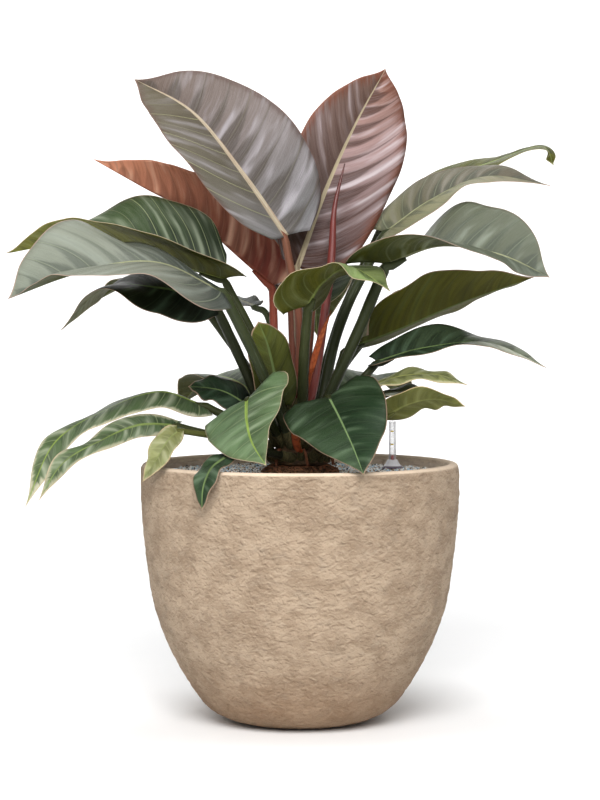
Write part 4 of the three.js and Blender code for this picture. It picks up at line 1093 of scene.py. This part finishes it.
# Water meter
def plastic(name, colour, rough, foot=None):
    m = Nodes(name)
    place = m.place()
    grain = m.noise(place, 0.8, 3)
    shade = tuple(0.8 * c for c in colour)
    tone = m.mix(m.span(grain, 0.35, 0.65, 0, 0.12), colour, shade)
    if foot:
        tone = m.mix(m.span(m.parts(place)[2], CAP_FOOT + 2.8, CAP_FOOT + 3.8), foot, tone)
    return m.finish(tone, m.span(grain, 0.3, 0.7, rough - 0.05, rough + 0.06), m.bump(grain, 0.0002, 0.4))


# Clear plastic looks denser where its wall is seen edge-on
def clear_plastic():
    m = Nodes("clear_plastic")
    haze = m.noise(m.place(0.2), 0.2, 2)
    grazing = m.node("ShaderNodeLayerWeight")["Facing"]
    m.put(m.shader.inputs["Alpha"], m.span(grazing, 0.05, 0.9, 0.15, 0.7))
    return m.finish(linear((234, 233, 237)), m.span(haze, 0.3, 0.7, 0.15, 0.19))


def turned_piece(name, profile, sides, material, node, ribs=0.0):
    turn = full_turn(sides)
    piece = Piece()
    rings = []
    for r, z in profile:
        reach = r + ribs * np.maximum(np.cos(12 * turn), 0) * (r > 7.5)
        rings.append(np.column_stack([METER_X + reach * np.cos(turn), METER_Y + reach * np.sin(turn),
                                      np.full(sides, z)]))
    piece.add(rings, grid_faces(len(profile), sides, wrap=True))
    piece.make(name, material, node)


def meter_cap():
    cone = [(CAP_BORE, CAP_FOOT), (CAP_RADIUS - 0.4, CAP_FOOT), (CAP_RADIUS, CAP_FOOT + 0.4),
            (CAP_RADIUS, CAP_FOOT + 1.2), (CAP_RADIUS - 0.6, CAP_FOOT + 1.9), (11, CAP_FOOT + 3.4),
            (9, CAP_FOOT + 6), (7.6, CAP_TOP - 2.6), (7.0, CAP_TOP - 0.6), (6.4, CAP_TOP),
            (TUBE_INNER + 0.1, CAP_TOP), (TUBE_INNER, CAP_TOP - 3), (7, CAP_FOOT + 2),
            (CAP_BORE, CAP_FOOT)]
    look = plastic("meter_cap_plastic", (250, 248, 254), 0.4, (112, 102, 118))
    turned_piece("meter_cap_ribbed", turned_profile(cone, 0.7), 96, look, "meter_cap", ribs=0.25)


def meter_tube():
    foot, ceiling, axis = CAP_TOP + 0.4, TUBE_TOP - 1.4, 0.05
    tube = [(TUBE_INNER, foot), (TUBE_OUTER, foot), (TUBE_OUTER, ceiling),
            (TUBE_OUTER - 0.3, TUBE_TOP - 0.5), (TUBE_OUTER - 1.2, TUBE_TOP), (axis, TUBE_TOP),
            (axis, ceiling), (TUBE_INNER, ceiling), (TUBE_INNER, foot)]
    turned_piece("meter_tube_clear", tube, 48, clear_plastic(), "meter_tube")


def meter_marks():
    columns, radius = 9, TUBE_OUTER + 0.08
    turns = np.radians(np.linspace(-125, -70, columns))
    marks = Piece()
    for height in MARK_HEIGHTS:
        strip = [(METER_X + radius * math.cos(turn), METER_Y + radius * math.sin(turn), z)
                 for z in (height - 0.8, height + 0.8) for turn in turns]
        marks.add(strip, grid_faces(2, columns))
    marks.make("meter_marks", plastic("yellow_print", (255, 214, 56), 0.5))


def meter_hidden_parts():
    red = plastic("meter_float_plastic", (224, 44, 16), 0.35)
    grey = plastic("meter_pipe_plastic", (84, 86, 90), 0.5)
    for node, look in (("meter_pipe", grey), ("meter_float", red)):
        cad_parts[node].material_slots[0].material = look


pot_piece()
gravel_piece()
mound_piece()
crown_piece()
spike_piece()
meter_hidden_parts()
meter_cap()
meter_tube()
meter_marks()


# Stage, light and camera
def stage_material():
    m = Nodes("pale_floor")
    tone = m.mix(m.noise(m.place(), 0.003, 2), (246, 246, 246), (250, 250, 250))
    return m.finish(tone, 0.9, Specular_IOR_Level=0.1)


# A floor that bends up into a back wall, in metres
def stage():
    depth, width, bend, height = 6.4, 6.0, 1.6, 5.0
    profile = [(-6.0, 0.0), (depth - bend, 0.0)]
    profile += [(depth - bend + bend * math.sin(a), bend - bend * math.cos(a))
                for a in np.radians(np.linspace(6, 90, 15))]
    profile.append((depth, height))
    points = [(x, y, z) for y, z in profile for x in (-width, width)]
    faces = [(2 * k, 2 * k + 1, 2 * k + 3, 2 * k + 2) for k in range(len(profile) - 1)]
    mesh = bpy.data.meshes.new("backdrop")
    mesh.from_pydata(points, [], faces)
    mesh.materials.append(stage_material())
    for polygon in mesh.polygons:
        polygon.use_smooth = True
    in_scene("backdrop", mesh)


def area_light(name, place, target, size, power):
    light = bpy.data.lights.new(name, "AREA")
    light.shape = "RECTANGLE"
    light.size = light.size_y = size
    light.energy = power
    lamp = in_scene(name, light)
    lamp.location = place
    lamp.rotation_euler = (Vector(target) - Vector(place)).to_track_quat("-Z", "Y").to_euler()


stage()
area_light("key", (-0.2, -3.6, 2.8), (0, 0, 0.4), 2.6, 245)
area_light("top", (-0.3, 0.2, 3.9), (0, 0, 0.4), 1.6, 70)
area_light("backdrop_left", (-2.6, 3.6, 2.6), (-0.8, 6.4, 1.4), 1.6, 90)
area_light("backdrop_right", (2.6, 3.6, 2.6), (0.8, 6.4, 1.4), 1.6, 90)

world = bpy.data.worlds.new("studio")
bpy.context.scene.world = world
world.use_nodes = True
background = world.node_tree.nodes["Background"]
background.inputs["Color"].default_value = (1, 1, 1, 1)
background.inputs["Strength"].default_value = 0.34
bpy.context.scene.view_settings.view_transform = "Standard"

camera_data = bpy.data.cameras.new("camera")
camera_data.sensor_width = 36
camera_data.lens = CAMERA_LENS
camera_data.clip_end = 50
camera = in_scene("camera", camera_data)
camera.location = (0, -CAMERA_DISTANCE, CAMERA_HEIGHT)
camera.rotation_euler = (math.radians(90 - CAMERA_TILT), 0, 0)
bpy.context.scene.camera = camera

bpy.context.view_layer.update()
